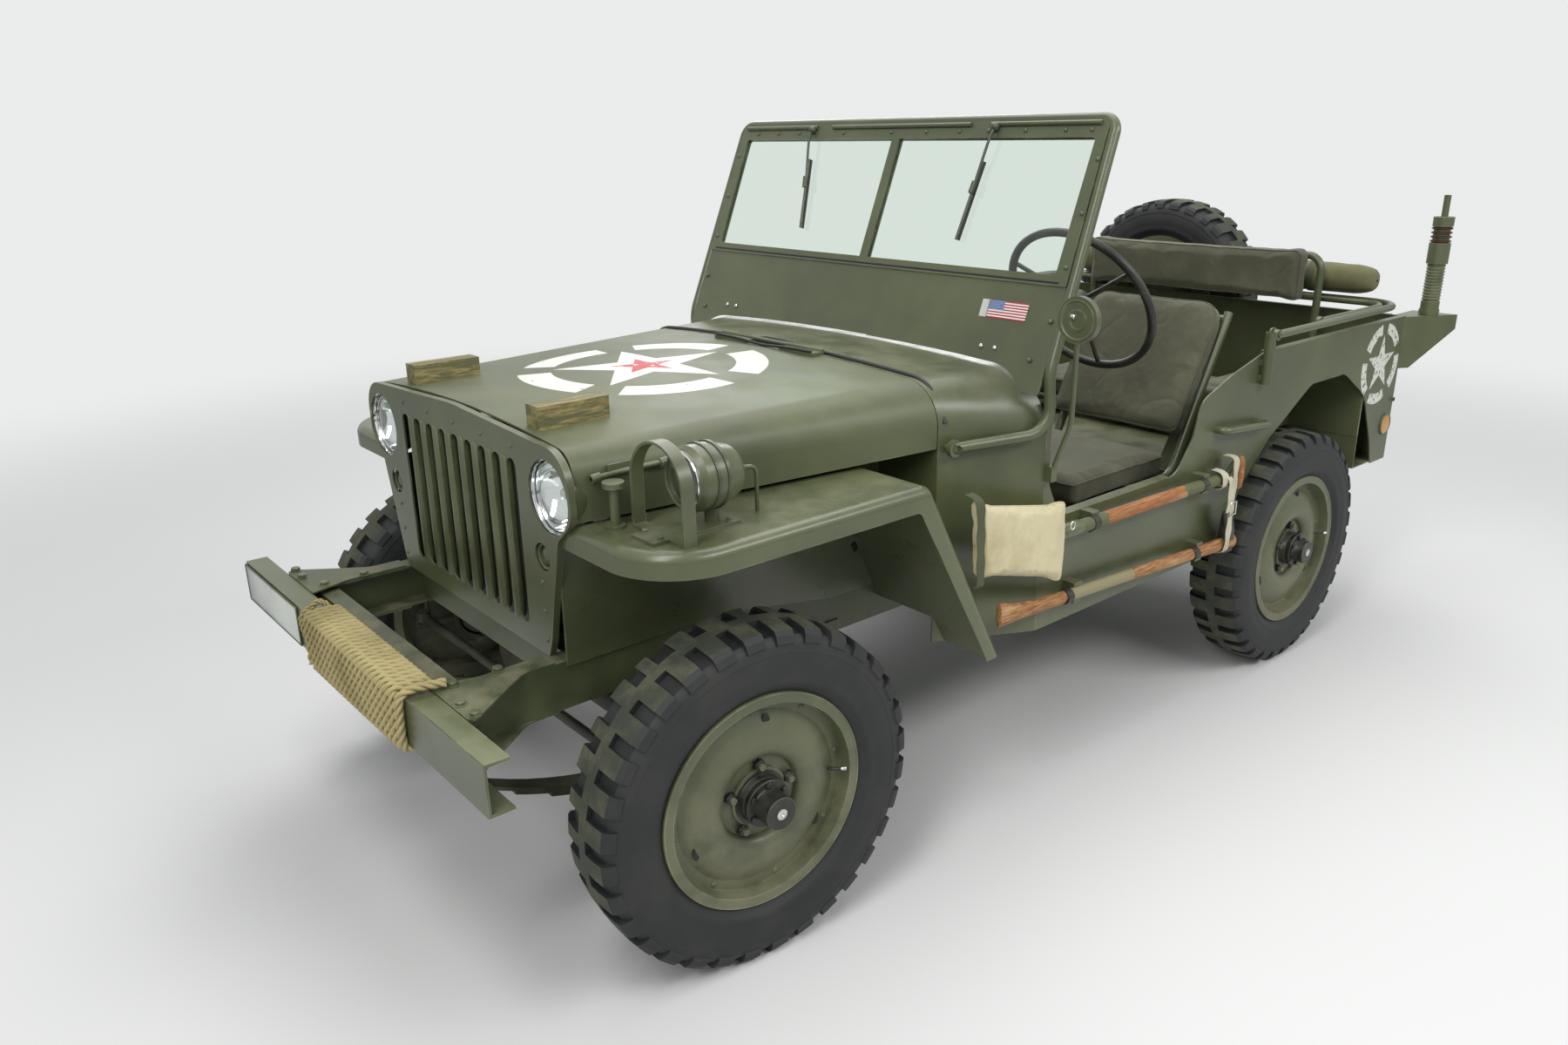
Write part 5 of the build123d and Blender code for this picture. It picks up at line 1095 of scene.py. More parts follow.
def arc_outline(corners, steps=5):
    """Outline through corners of (across, up, radius) in mm, each rounded by its radius."""
    points = []
    for index, (x, y, radius) in enumerate(corners):
        corner = Vector((x, y))
        before = Vector(corners[index - 1][:2])
        after = Vector(corners[(index + 1) % len(corners)][:2])
        one = (before - corner).normalized()
        two = (after - corner).normalized()
        half = math.acos(max(-1, min(1, one.dot(two)))) / 2
        reach = radius / math.tan(half)
        start, end = corner + one * reach, corner + two * reach
        for step in range(steps + 1):
            share = step / steps
            points.append((1 - share) ** 2 * start + 2 * share * (1 - share) * corner + share ** 2 * end)
    return points


def slab(name, outline, low, high, round_by, matrix):
    """Closed slab of an outline in its own plane, from low to high, all in mm, put in place by a matrix."""
    piece = linked(name, bpy.data.meshes.new(name))
    shape = bmesh.new()
    ring = [shape.verts.new((x / 1000, y / 1000, low / 1000)) for x, y in outline]
    face = shape.faces.new(ring)
    raised = bmesh.ops.extrude_face_region(shape, geom=[face])
    top = [part for part in raised["geom"] if isinstance(part, bmesh.types.BMVert)]
    bmesh.ops.translate(shape, verts=top, vec=(0, 0, (high - low) / 1000))
    bmesh.ops.recalc_face_normals(shape, faces=shape.faces)
    shape.to_mesh(piece.data)
    shape.free()
    if round_by:
        soften(piece, round_by, 2, 50)
    piece.data.transform(matrix)
    return piece


def crumple(piece, height, scale, seed, ridge=0.0):
    """Moves the surface along its normals by smooth noise of a height in mm, with creases ridge mm deep."""
    normals = [vertex.normal.copy() for vertex in piece.data.vertices]
    shift = Vector((seed * 3.1, seed * 1.7, seed * 5.3))
    for vertex, normal in zip(piece.data.vertices, normals):
        place = vertex.co * scale + shift
        move = noise.noise(place) * height
        if ridge:
            crease = 1 - min(1, abs(noise.noise(place * 0.7 + Vector((7, 3, 1)))) * 7)
            move -= crease * crease * ridge
        vertex.co += normal * move / 1000
    return piece


def keep_in(piece, low, high):
    """Holds every point between two corners in mm."""
    low, high = at(*low), at(*high)
    for vertex in piece.data.vertices:
        for axis in range(3):
            vertex.co[axis] = max(low[axis], min(high[axis], vertex.co[axis]))
    return piece


STUFFING_FRAMES = 20


def stuffed(piece, cap, voxel=8.0, pressure=4.0):
    """Swells a closed shape as stuffing swells its cover. No point moves more than cap mm."""
    only(piece)
    even = piece.modifiers.new("even", "REMESH")
    even.mode = "VOXEL"
    even.voxel_size = voxel / 1000
    bpy.ops.object.modifier_apply(modifier="even")
    first = [vertex.co.copy() for vertex in piece.data.vertices]
    cloth = piece.modifiers.new("stuffing", "CLOTH")
    cloth.settings.use_pressure = True
    cloth.settings.uniform_pressure_force = pressure
    cloth.settings.effector_weights.gravity = 0
    cloth.point_cache.frame_start = 1
    cloth.point_cache.frame_end = STUFFING_FRAMES
    scene = bpy.context.scene
    for number in range(1, STUFFING_FRAMES + 1):
        scene.frame_set(number)
    swollen = bpy.data.meshes.new_from_object(piece.evaluated_get(bpy.context.evaluated_depsgraph_get()))
    moved = [vertex.co.copy() for vertex in swollen.vertices]
    piece.modifiers.clear()
    bpy.data.meshes.remove(swollen)
    scene.frame_set(1)
    for vertex, start, end in zip(piece.data.vertices, first, moved):
        step = end - start
        if step.length > cap / 1000:
            step *= cap / 1000 / step.length
        vertex.co = start + step
    only(piece)
    finer = piece.modifiers.new("finer", "SUBSURF")
    finer.levels = finer.render_levels = 1
    bpy.ops.object.modifier_apply(modifier="finer")
    return smooth(piece, 80)


def welt(piece, points, step=SEAM_STEP, radius=SEAM_RADIUS, material=seat_canvas):
    """Round seam laid on a piece's surface along a closed line of points in mm, by small steps."""
    line = []
    for first, second in zip(points, points[1:] + points[:1]):
        first, second = Vector(first), Vector(second)
        count = max(1, round((second - first).length / step))
        for index in range(count):
            _, spot, normal, _ = piece.closest_point_on_mesh(at(*first.lerp(second, index / count)))
            line.append(in_mm(spot + normal * radius * 0.0003))
    return wire(piece.name + "_seam", line, radius, material, True, 2, True)


def flat_seat(name, x, y, z, corner, cap, seed, crown):
    """Seat cushion between spans in mm, flat below and crowned above, with its seam."""
    left, right, front, back = x[0] + SEAT_INSET, x[1] - SEAT_INSET, y[0] + SEAT_INSET, y[1] - SEAT_INSET
    outline = arc_outline([(left, front, corner), (right, front, corner), (right, back, corner),
                           (left, back, corner)])
    place = Matrix.Translation((0, -AXLE_BACK / 1000, 0))
    pad = stuffed(slab(name, outline, z[0] + 2, z[1] - 7, 6, place), cap)
    middle = at((x[0] + x[1]) / 2, (y[0] + y[1]) / 2, z[0])
    half = ((x[1] - x[0]) / 2000, (y[1] - y[0]) / 2000)
    for vertex in pad.data.vertices:
        across = min(1, abs(vertex.co.x - middle.x) / half[0])
        along = min(1, abs(vertex.co.y - middle.y) / half[1])
        up = (vertex.co.z - middle.z) * 1000 / (z[1] - z[0])
        vertex.co.z += up * (1 - across ** 3) * (1 - along ** 3) * crown / 1000
    crumple(pad, 1.6, 13, seed, 1.5)
    crumple(pad, 0.5, 60, seed + 4)
    keep_in(pad, (x[0], y[0], z[0]), (x[1], y[1], z[1] + 6))
    give(pad, seat_canvas)
    return pad, welt(pad, [(px, py, z[1] - 8) for px, py in outline])


def leaning_back(name, x, low, high, thick, corner, cap, seed):
    """Back cushion between two x in mm, its front face from low to high (y, z), with rounded top corners."""
    lean = Vector((high[0] - low[0], high[1] - low[1]))
    top = lean.length - SEAT_INSET
    half = (x[1] - x[0]) / 2 - SEAT_INSET
    outline = arc_outline([
        (-half, SEAT_INSET, 22), (half, SEAT_INSET, 22), (half, top, corner), (-half, top, corner)], 7)
    place = Matrix.Translation(at((x[0] + x[1]) / 2, low[0], low[1]))
    tilt = Matrix.Rotation(-math.atan2(lean.x, lean.y), 4, "X")
    place = place @ tilt @ Matrix.Rotation(math.radians(90), 4, "X")
    pad = stuffed(slab(name, outline, 6, thick - 6, 7, place), cap)
    crumple(pad, 1.8, 11, seed, 1.6)
    crumple(pad, 0.5, 60, seed + 4)
    give(pad, seat_canvas)
    edge = [Vector((px / 1000, py / 1000, (thick - 9) / 1000)) for px, py in outline]
    return pad, welt(pad, [in_mm(place @ spot) for spot in edge])


def bench_back():
    """Long padded rest behind the rear bench, with rounded ends."""
    low, high = (-414, 2442.7, 1000), (414, 2520.7, 1192)
    outline = arc_outline([(-403, 1011, 18), (403, 1011, 18), (403, 1181, 34), (-403, 1181, 34)], 7)
    place = Matrix.Translation(at(0, 2517.7, 0)) @ Matrix.Rotation(math.radians(90), 4, "X")
    pad = stuffed(slab("rear_bench_back", outline, 6, 66, 10, place), 10)
    crumple(pad, 1.8, 9, 5, 1.8)
    crumple(pad, 0.5, 60, 8)
    keep_in(pad, low, high)
    give(pad, seat_canvas)
    return pad, welt(pad, [(px, 2449, pz) for px, pz in outline])


def for_passenger(pieces):
    """The driver's pieces on the other side."""
    across = Matrix.Scale(-1, 4, (1, 0, 0))
    return [moved_copy(piece, piece.name.replace("driver", "passenger"), across) for piece in pieces]


def seat_cloth(pad, seam, body, *nodes):
    """Sets a cushion and its seam on their body, in place of nodes."""
    placed(pad, body)
    placed(seam, body)
    if nodes:
        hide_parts(*nodes)


SEAT_ACROSS = (78, 521)
driver_base = flat_seat("driver_seat_base", SEAT_ACROSS, (1145, 1594), (637, 702), 24, 11, 1, 9)
driver_back = leaning_back("driver_seat_back", SEAT_ACROSS, (1652, 716), (1842, 1080), 60, 68, 10, 2)
passenger_base, passenger_back = for_passenger(driver_base), for_passenger(driver_back)
seat_cloth(*driver_base, "chassis", "fixed_cushions")
seat_cloth(*driver_back, "chassis")
seat_cloth(*passenger_base, "passenger_seat", "passenger_cushions")
seat_cloth(*passenger_back, "passenger_seat")
bench = flat_seat("rear_bench_cushion", (-364, 364), (2010, 2428), (680.3, 745.3), 20, 11, 3, 7)
seat_cloth(*bench, "rear_seat", "rear_seat_cushion")
seat_cloth(*bench_back(), "chassis")

ROLL = (2640, 1077.3)
ROLL_HALF = 560
ROLL_REACH = (54, 53.9)
ROLL_STRAPS = (-360, 0, 360)


def rolled_top():
    """Rolled canvas: lapped layers round a line across the car, wrinkled, with gathered ends."""
    stations = [(-560, 6), (-559, 24), (-556, 40), (-548, 47), (-532, 50)]
    stations += [(x, 51.5) for x in range(-515, 500, 14)]
    stations += [(515, 49), (535, 45), (548, 40), (556, 31), (559, 18), (560, 5)]
    roll = turned("canvas_roll_cloth", (0, *ROLL), LEFTWARD, stations, 56, 60)
    middle = at(0, *ROLL)
    for vertex in roll.data.vertices:
        away = Vector((0, vertex.co.y - middle.y, vertex.co.z - middle.z))
        angle = math.atan2(away.z, away.y)
        lap = ((angle / (2 * math.pi) + 0.36 + 0.03 * math.sin(vertex.co.x * 5)) % 1.0)
        pull = 1.0 - 0.09 * (1 - lap) ** 4
        fold = noise.noise(Vector((vertex.co.x * 5, math.cos(angle) * 1.6, math.sin(angle) * 1.6)))
        crease = noise.noise(Vector((vertex.co.x * 21, math.cos(angle) * 1.1 + 3, math.sin(angle) * 1.1)))
        taper = 1 - 0.10 * max(0.0, (vertex.co.x - 0.15) / 0.41)
        sag = 1.0
        for strap in ROLL_STRAPS:
            sag -= 0.05 * math.exp(-((vertex.co.x - strap / 1000) / 0.016) ** 2)
        share = pull * taper * sag * (1 + 0.045 * fold + 0.03 * crease)
        vertex.co.y = middle.y + away.y * share
        vertex.co.z = middle.z + away.z * share
    give(roll, roll_canvas)
    return smooth(roll, 60)


roll = rolled_top()
keep_in(roll, (-ROLL_HALF, ROLL[0] - ROLL_REACH[0], ROLL[1] - ROLL_REACH[1]),
        (ROLL_HALF, ROLL[0] + ROLL_REACH[0], ROLL[1] + ROLL_REACH[1]))
placed(roll, "front_bow")
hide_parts("canvas_roll")
for index, (x, reach) in enumerate(zip(ROLL_STRAPS, (50.6, 50.6, 48.4))):
    band = turned(f"roll_strap_{index}", (x, *ROLL), LEFTWARD, hoop(13, reach - 2.5, reach + 0.8), 48)
    placed(give(band, green_web), "front_bow")


BAG_FRONT, BAG_LENGTH, BAG_MIDDLE = 548, 340, Vector((722, 698))


def side_bag():
    """Flat canvas bag on the left side: full and slack in front, flat at its back."""
    corners = []
    for y, z, radius in ((548, 832, 14), (886, 760, 18), (889, 555, 16), (566, 645, 16)):
        corners.append((*(BAG_MIDDLE + (Vector((y, z)) - BAG_MIDDLE) * 0.965), radius))
    outline = arc_outline(corners)
    bag = stuffed(slab("side_bag", outline, 675, 694, 5, SIDE_PLANE), 12, 6.0, 3.0)
    for vertex in bag.data.vertices:
        y = (in_mm(vertex.co)[1] - BAG_FRONT) / BAG_LENGTH
        front = max(0.0, min(1.0, (vertex.co.x - 0.680) / 0.02))
        sag = noise.noise(Vector((vertex.co.y * 9, vertex.co.z * 6, 2.0))) * 4.5
        pleat = noise.noise(Vector((vertex.co.y * 3, vertex.co.z * 22 + vertex.co.y * 9, 5.0))) * 2.2
        vertex.co.x += front * (sag + pleat - 3 * abs(y - 0.5)) / 1000
    crumple(bag, 0.6, 55, 6)
    keep_in(bag, (672.6, 546, 553), (706.2, 891, 834))
    give(bag, bag_canvas)
    return bag, welt(bag, [(690, y, z) for y, z in outline], 14, 1.6, bag_canvas)


bag, bag_seam = side_bag()
placed(bag, "chassis")
placed(bag_seam, "chassis")
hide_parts("canvas_bag")


# Tools on the left side

TOOL_X = 680
AXE_EYE, AXE_TAPER, AXE_THIN = 0.505, 0.06, 0.16


def bare_where(material, *bare):
    """Takes the paint off a handle between spans in mm along the car, with ragged ends."""
    tree = material.node_tree
    effect = next(node for node in tree.nodes if node.type == "GROUP")
    along = add(tree, "SeparateXYZ", place_of(tree)).outputs[1]
    ragged = plus(tree, along, times(tree, speckle(tree, place_of(tree), 30.0, 5.0, 0.7), 0.05))
    covered = None
    for start, end in bare:
        start, end = at(0, start, 0).y, at(0, end, 0).y
        low = between(tree, ragged, start + 0.03, start + 0.018)
        high = between(tree, ragged, end + 0.022, end + 0.034)
        outside = maths(tree, "MAXIMUM", low, high)
        covered = outside if covered is None else maths(tree, "MINIMUM", covered, outside)
    feed(tree, effect.inputs["Painted"], times(tree, covered, 1.5))
    return material


def limb(name, stations, sides=16):
    """Bar along the car through (y, z, half width, half height) in mm, with an oval section."""
    leave_edit()
    y, z, wide, high = stations[0]
    bpy.ops.mesh.primitive_circle_add(vertices=sides, radius=1, location=(0, 0, 0),
                                      rotation=(math.radians(90), 0, 0), fill_type="NGON")
    piece = named(name)
    piece.scale = (wide / 1000, high / 1000, 1)
    settle(piece)
    place = at(TOOL_X, y, z)
    piece.location = place
    settle(piece)
    edit_all(piece)
    for y, z, next_wide, next_high in stations[1:]:
        spot = at(TOOL_X, y, z)
        bpy.ops.mesh.extrude_region_move(TRANSFORM_OT_translate={"value": spot - place})
        bpy.ops.transform.resize(value=(next_wide / wide, 1, next_high / high), center_override=spot)
        place, wide, high = spot, next_wide, next_high
    finish_edit()
    outward(piece)
    return smooth(soften(piece, 2.5, 2, 50), 50)


def handle_finish(name, bump, *bare, **changes):
    """Oiled wood with old paint on it, but for the bare spans."""
    values = {"Wood": shade(176, 116, 62), "Dark Grain": shade(120, 72, 36), "Paint": shade(84, 90, 58),
              "Stretch": 14.0}
    values.update(changes)
    return bare_where(finish_of(name, GRAIN, values, bump=bump), *bare)


shaft_finish = handle_finish("shovel shaft", 0.4, (1045, 1385))
axe_finish = handle_finish("axe handle", 0.4, (640, 925), (1180, 1700), Wood=shade(186, 140, 88),
                           Paint=shade(142, 134, 100))
grip_finish = handle_finish("grip wood", 0.3, (1500, 1800), Stretch=1.0)
shovel_shaft = limb("shovel_shaft", [
    (905, 676.2, 15, 15), (930, 675.8, 16.4, 16.4), (1200, 670.6, 16.8, 16.8), (1500, 664.9, 16, 16),
    (1580, 663.4, 15, 15), (1600, 663, 13, 14)])
placed(give(shovel_shaft, shaft_finish), "chassis")
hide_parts("tools")
fork = [wire("fork_arm", [(TOOL_X, y, z) for y, z in line], 8.2, body_paint) for line in (
    ((1584, 663), (1604, 668), (1624, 688), (1648, 701), (1668, 702)),
    ((1584, 662), (1604, 657), (1624, 640), (1648, 627), (1668, 626)))]
placed(joined("shovel_grip_frame", fork), "chassis")
grip = turned("shovel_grip", (TOOL_X, 1664, 664), UPWARD, [
    (-47, 0), (-46, 7), (-40, 12), (-20, 14), (0, 14.6), (20, 14), (40, 12), (46, 7), (47, 0)], 20)
placed(give(grip, grip_finish), "chassis")
socket = turned("shovel_socket", (TOOL_X, 925, 676), FORWARD, [
    (-22, 16.9), (-20, 18), (20, 18), (50, 15), (90, 9), (120, 5), (124, 0), (-22, 16.9)], 24)
placed(give(socket, body_paint), "chassis")
blade_outline = arc_outline([(612, 640, 30), (612, 712, 30), (882, 740, 20), (902, 676, 4), (882, 612, 20)])
blade = slab("shovel_blade", blade_outline, 668, 671.8, 1, SIDE_PLANE)
placed(give(blade, body_paint), "chassis")
axe_handle = limb("axe_handle", [
    (668, 533, 9, 30), (684, 531, 11, 29), (720, 526, 12, 22), (790, 519, 12.5, 17.5),
    (900, 511.5, 12.5, 15.5), (1100, 500, 12.8, 15), (1300, 487.5, 13, 15.5), (1480, 476.5, 13.4, 16),
    (1580, 470.4, 13.6, 18), (1630, 467.2, 14, 20), (1662, 465.3, 14, 20.5), (1676, 464.4, 12, 18)])
placed(give(axe_handle, axe_finish), "chassis")
head_outline = arc_outline([
    (1602, 446, 6), (1655, 441, 6), (1658, 500, 10), (1652, 560, 8), (1604, 565, 8), (1612, 500, 14)], 4)
head = slab("axe_head", head_outline, 667.5, 692.5, 3, SIDE_PLANE)
for vertex in head.data.vertices:
    toward_edge = (vertex.co.z - AXE_EYE) / AXE_TAPER
    if toward_edge > 0:
        thinner = max(AXE_THIN, 1 - (1 - AXE_THIN) * toward_edge)
        vertex.co.x = TOOL_X / 1000 + (vertex.co.x - TOOL_X / 1000) * thinner
placed(give(head, dark_grease), "chassis")


# Windshield

SHIELD_TILT = math.radians(21.65)
SHIELD_FOOT = (816, 1045)
SHIELD_OUT = (0, -math.cos(SHIELD_TILT), math.sin(SHIELD_TILT))
PANE_SIDES, PANE_ENDS, SEAL_DEPTH = (10, 607), (219, 531), 6.2
FLAG_ACROSS, FLAG_ALONG, FLAG_DEPTH = (446, 556), (112, 153), (4.6, 6.2)
FLAG_STRIPES, FLAG_CORNER, FLAG_DOTS = 13, (0.4, 0.46), (20.0, 11.0)
olive_dark = olive("dark olive paint", Colour=shade(62, 68, 48), Gloss=0.4)


def on_shield(x, along, depth):
    """A place in mm on the windshield: along it from its foot, depth behind its front face."""
    return (x, SHIELD_FOOT[0] + along * math.sin(SHIELD_TILT) + depth * math.cos(SHIELD_TILT),
            SHIELD_FOOT[1] + along * math.cos(SHIELD_TILT) - depth * math.sin(SHIELD_TILT))


def shield_strip(name, x, along, depth, material, round_by=1.0):
    """Flat strip on the windshield between two values of each measure in mm."""
    strip = block(name, x, (AXLE_BACK + along[0], AXLE_BACK + along[1]), depth, round_by)
    turn = Matrix((
        (1, 0, 0, 0), (0, math.sin(SHIELD_TILT), math.cos(SHIELD_TILT), 0),
        (0, math.cos(SHIELD_TILT), -math.sin(SHIELD_TILT), 0), (0, 0, 0, 1),
    ))
    strip.data.transform(Matrix.Translation(at(0, *SHIELD_FOOT)) @ turn)
    strip.data.flip_normals()
    return give(strip, material)


def pane_seals():
    """Dark seals round both panes."""
    parts = []
    for side in (-1, 1):
        low, high = sorted(side * x for x in PANE_SIDES)
        foot, top = PANE_ENDS
        corners = [(low, foot), (high, foot), (high, top), (low, top)]
        for first, second in zip(corners, corners[1:] + corners[:1]):
            side_run = [on_shield(*first, SEAL_DEPTH), on_shield(*second, SEAL_DEPTH)]
            parts.append(wire("seal", side_run, 2.4, soft_rubber, False, 2))
    return joined("pane_seals", parts)


def wiper(name, x, lean):
    """Wiper that hangs from the top rail: pivot, sprung arm and blade."""
    end, start = x + lean, x + lean * 0.35
    arm = wire("arm", [on_shield(x, 556, -4), on_shield(x, 540, -12), on_shield(x + lean * 0.3, 470, -10),
                       on_shield(x + lean * 0.55, 410, -6)], 3.4, olive_dark)
    spine = wire("spine", [on_shield(start, 470, -5), on_shield(end, 282, -4)], 4.2, olive_dark, False)
    edge = wire("edge", [on_shield(start + 2, 470, 2), on_shield(end + 2, 282, 3)], 3.0, soft_rubber, False)
    clip_line = [on_shield(x + lean * 0.5, 420, -9), on_shield(x + lean * 0.62, 392, -9)]
    clip = wire("clip", clip_line, 7.0, olive_dark, False)
    knob_profile = [(-2, 11), (6, 11), (10, 9), (14, 6), (16, 0)]
    knob = turned("knob", on_shield(x, 552, 0), SHIELD_OUT, knob_profile, 20)
    return joined(name, [arm, spine, edge, clip, give(knob, olive_dark)])


def flag_finish():
    """Striped flag with a blue corner of pale dots, read from where it lies on the windshield panel."""
    material, tree, shader = material_with_shader("flag decal")
    axes = add(tree, "SeparateXYZ", place_of(tree)).outputs
    foot, top = (on_shield(0, along, FLAG_DEPTH[0])[2] / 1000 for along in FLAG_ALONG)
    across = between(tree, axes[0], FLAG_ACROSS[0] / 1000, FLAG_ACROSS[1] / 1000, False)
    up = between(tree, axes[2], foot, top, False)
    stripe = maths(tree, "GREATER_THAN", maths(tree, "FRACT", times(tree, up, FLAG_STRIPES / 2)), 0.5)
    stripes = blended(tree, stripe, shade(170, 34, 48), shade(226, 226, 222))
    corner = times(tree, maths(tree, "LESS_THAN", across, FLAG_CORNER[0]),
                   maths(tree, "GREATER_THAN", up, FLAG_CORNER[1]))
    row = minus(tree, maths(tree, "FRACT", times(tree, across, FLAG_DOTS[0])), 0.5)
    line = minus(tree, maths(tree, "FRACT", times(tree, up, FLAG_DOTS[1])), 0.5)
    near = plus(tree, maths(tree, "POWER", row, 2.0), maths(tree, "POWER", line, 2.0))
    field = blended(tree, maths(tree, "LESS_THAN", near, 0.07), shade(44, 74, 134), shade(206, 214, 226))
    feed(tree, shader["Base Color"], blended(tree, corner, stripes, field))
    shader["Roughness"].default_value = 0.3
    shader["Coat Weight"].default_value = 0.3
    return material


def top_of(node, x, y, start=1400):
    """Height in mm of a node's top at a place."""
    _, spot, _, _ = nodes[node].ray_cast(at(x, y, start), Vector(DOWNWARD))
    return spot.z * 1000


placed(pane_seals(), "windshield")
foot_seal = wire("windshield_foot_seal", [on_shield(x, 206, 3.5) for x in (-618, -300, 0, 300, 618)], 3.2,
                 soft_rubber, False)
placed(foot_seal, "windshield")
# The rail leaves room for the blocks that the windshield lies on when it is folded.
top_rail = joined("windshield_top_rail", [
    wire("rail", [on_shield(start, 560, -1), on_shield(end, 560, -1)], 5.5, body_paint, False)
    for start, end in ((-612, -306), (-244, 244), (306, 612))])
placed(top_rail, "windshield")
screw = [(-1, 5.6), (1.4, 5.4), (3.0, 4.2), (3.8, 2.0), (3.8, 0)]
screws = [(x, 545) for x in (-560, -470, -380, -200, -20, 100, 210, 300, 409, 520, 590)]
screws += [(side * 626, along) for side in (-1, 1) for along in (120, 240, 360, 480)]
screws += [(-600, 30), (600, 30)]
placed(repeated("windshield_screws", screw, 12, body_paint,
                [(on_shield(x, along, 1.5), SHIELD_OUT) for x, along in screws]), "windshield")
bolt_places = [(on_shield(x, 45, 4), SHIELD_OUT) for x in (456, 496, -456, -496)]
placed(repeated("windshield_bolts", screw, 12, bright_steel, bolt_places), "windshield")
placed(wiper("wiper_left", 322, -22), "windshield")
placed(wiper("wiper_right", -322, 60), "windshield")
placed(shield_strip("flag_decal", FLAG_ACROSS, FLAG_ALONG, FLAG_DEPTH, flag_finish(), 0.0), "windshield")
placed(shield_strip("flag_blank_tab", (424, 444), FLAG_ALONG, FLAG_DEPTH, plate_white, 0.0), "windshield")
cowl_line = [(x, 606, top_of("cowl", x, 606, 1300) + 2.0) for x in range(-560, 561, 40)]
placed(wire("cowl_seal", cowl_line, 5.5, soft_rubber), "chassis")


# Front

GRILLE_Y = -246
BAR_PITCH = 61


def grille_bars():
    """Eight upright bars between the slots of the grille."""
    bars = []
    for index in range(8):
        bar = turned("bar", ((index - 3.5) * BAR_PITCH, GRILLE_Y, 650), UPWARD, [
            (0, 2), (2, 9), (8, 12.4), (330, 12.4), (336, 9), (338, 2)], 24)
        for vertex in bar.data.vertices:
            vertex.co.y = at(0, GRILLE_Y, 0).y + (vertex.co.y - at(0, GRILLE_Y, 0).y) * 0.95
        bars.append(give(bar, body_paint))
    return joined("grille_bars", bars)


def knotted_loops():
    """Rope's frayed strands that stand up at the ends of the winding."""
    loops = (
        [(-186, -530, 618), (-190, -520, 628), (-186, -508, 633), (-178, -500, 628), (-176, -494, 619)],
        [(-180, -546, 560), (-186, -551, 590), (-187, -548, 616), (-184, -530, 624)],
    )
    parts = [strands(f"rope_knot_{index}", smooth_run(line, 4), 15, 36) for index, line in enumerate(loops)]
    return give(joined("rope_knot", parts), rope_fibre)


placed(grille_bars(), "chassis")
gusset_places = [((side * x, y, 610), UPWARD) for side in (-1, 1)
                 for x, y in ((330, -360), (330, -450), (462, -470), (410, -472))]
hex_head = [(-1, 10), (0, 12.5), (1.6, 12.5), (2, 10.4), (8, 10.4), (9.4, 8.6), (9.4, 0)]
placed(repeated("gusset_bolts", hex_head, 6, body_paint, gusset_places), "chassis")
rivet_places = [((side * 330, -252, z), FORWARD) for side in (-1, 1) for z in (640, 700, 760)]
rivet_places += [((x, -252, 1010), FORWARD) for x in (-250, -125, 0, 125, 250)]
small_rivet = [(-1, 5), (0.6, 5), (2, 3.8), (2.8, 2), (2.8, 0)]
placed(repeated("grille_rivets", small_rivet, 12, body_paint, rivet_places), "chassis")
plate = block("number_plate", (-618, -262), (-537.5, -534.5), (512, 600), 1.2)
placed(give(plate, plate_white), "chassis")
plate_edge = [(x, -537, z) for x, z in ((-618, 512), (-262, 512), (-262, 600), (-618, 600))]
placed(wire("number_plate_rim", plate_edge, 2.4, olive_dark, False, 2, True), "chassis")
worn_end = block("bumper_worn_top", (340, 621.6), (-533, -487), (605.6, 607.2), 0.4)
placed(give(worn_end, worn_and_highlit_paint), "chassis")
placed(knotted_loops(), "chassis")


# Hood and fender fittings

DRIVE_LAMP = (588, -98, 985)


def hood_catches():
    """Rods, collars and plates that hold the hood down on both sides."""
    parts = []
    collar = [(-9, 4), (-9, 9), (9, 9), (9, 4)]
    for side in (-1, 1):
        line = []
        for y, z in ((-196, 980), (-150, 984), (-60, 988), (-28, 989)):
            _, spot, _, _ = nodes["hood"].ray_cast(at(side * 800, y, z), Vector((-side, 0, 0)))
            line.append((spot.x * 1000 + side * 9, y, z))
        parts.append(wire("catch_rod", line, 5.6, body_paint))
        for end in (line[0], line[2]):
            parts.append(give(turned("collar", end, (0, 1, 0.1), collar, 20), body_paint))
        x, y, z = line[1]
        across = (x - 9, x - 4) if side > 0 else (x + 4, x + 9)
        parts.append(give(block("catch_plate", across, (y - 20, y + 40), (z - 18, z + 16), 2), body_paint))
    return joined("hood_catches", parts)


# A near-black wire along the hood's hinge line: painted shade of the narrow recess there.
hinge_line = [(x, 560, top_of("hood", x, 560) + 2) for x in (-180, -90, 0, 90, 180)]
placed(wire("hood_hinge_pin", hinge_line, 3.4, soft_rubber), "hood")
placed(hood_catches(), "hood")
placed(domed_lens("drive_lamp_lens", DRIVE_LAMP, 48, 7, 40), "chassis")
drive_rim = lamp_cup("drive_lamp_rim", DRIVE_LAMP, FORWARD, [
    (-2, 47), (-2, 52.6), (5, 52.6), (7, 51), (7, 48.5), (3, 47), (-2, 47)], body_paint, chrome, 0.5)
placed(drive_rim, "chassis")
for name, y in (("drive_lamp_band_front", -64), ("drive_lamp_band_rear", -42)):
    band = turned(name, (DRIVE_LAMP[0], y, DRIVE_LAMP[2]), REARWARD, hoop(3, 59, 62.4), 56)
    placed(give(band, olive_dark), "chassis")
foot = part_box("drive_lamp")[0][2] * 1000
foot_places = [((DRIVE_LAMP[0] + x, y, foot + 6), UPWARD) for x in (-24, 24) for y in (-168, -20)]
foot_bolt = [(-1, 7.5), (1, 7.5), (1.4, 6.2), (6, 6.2), (7, 5), (7, 0)]
placed(repeated("drive_lamp_bolts", foot_bolt, 6, body_paint, foot_places), "chassis")
_, spot, _, _ = nodes["side_mirror"].ray_cast(at(704, 500, 1180), Vector(REARWARD))
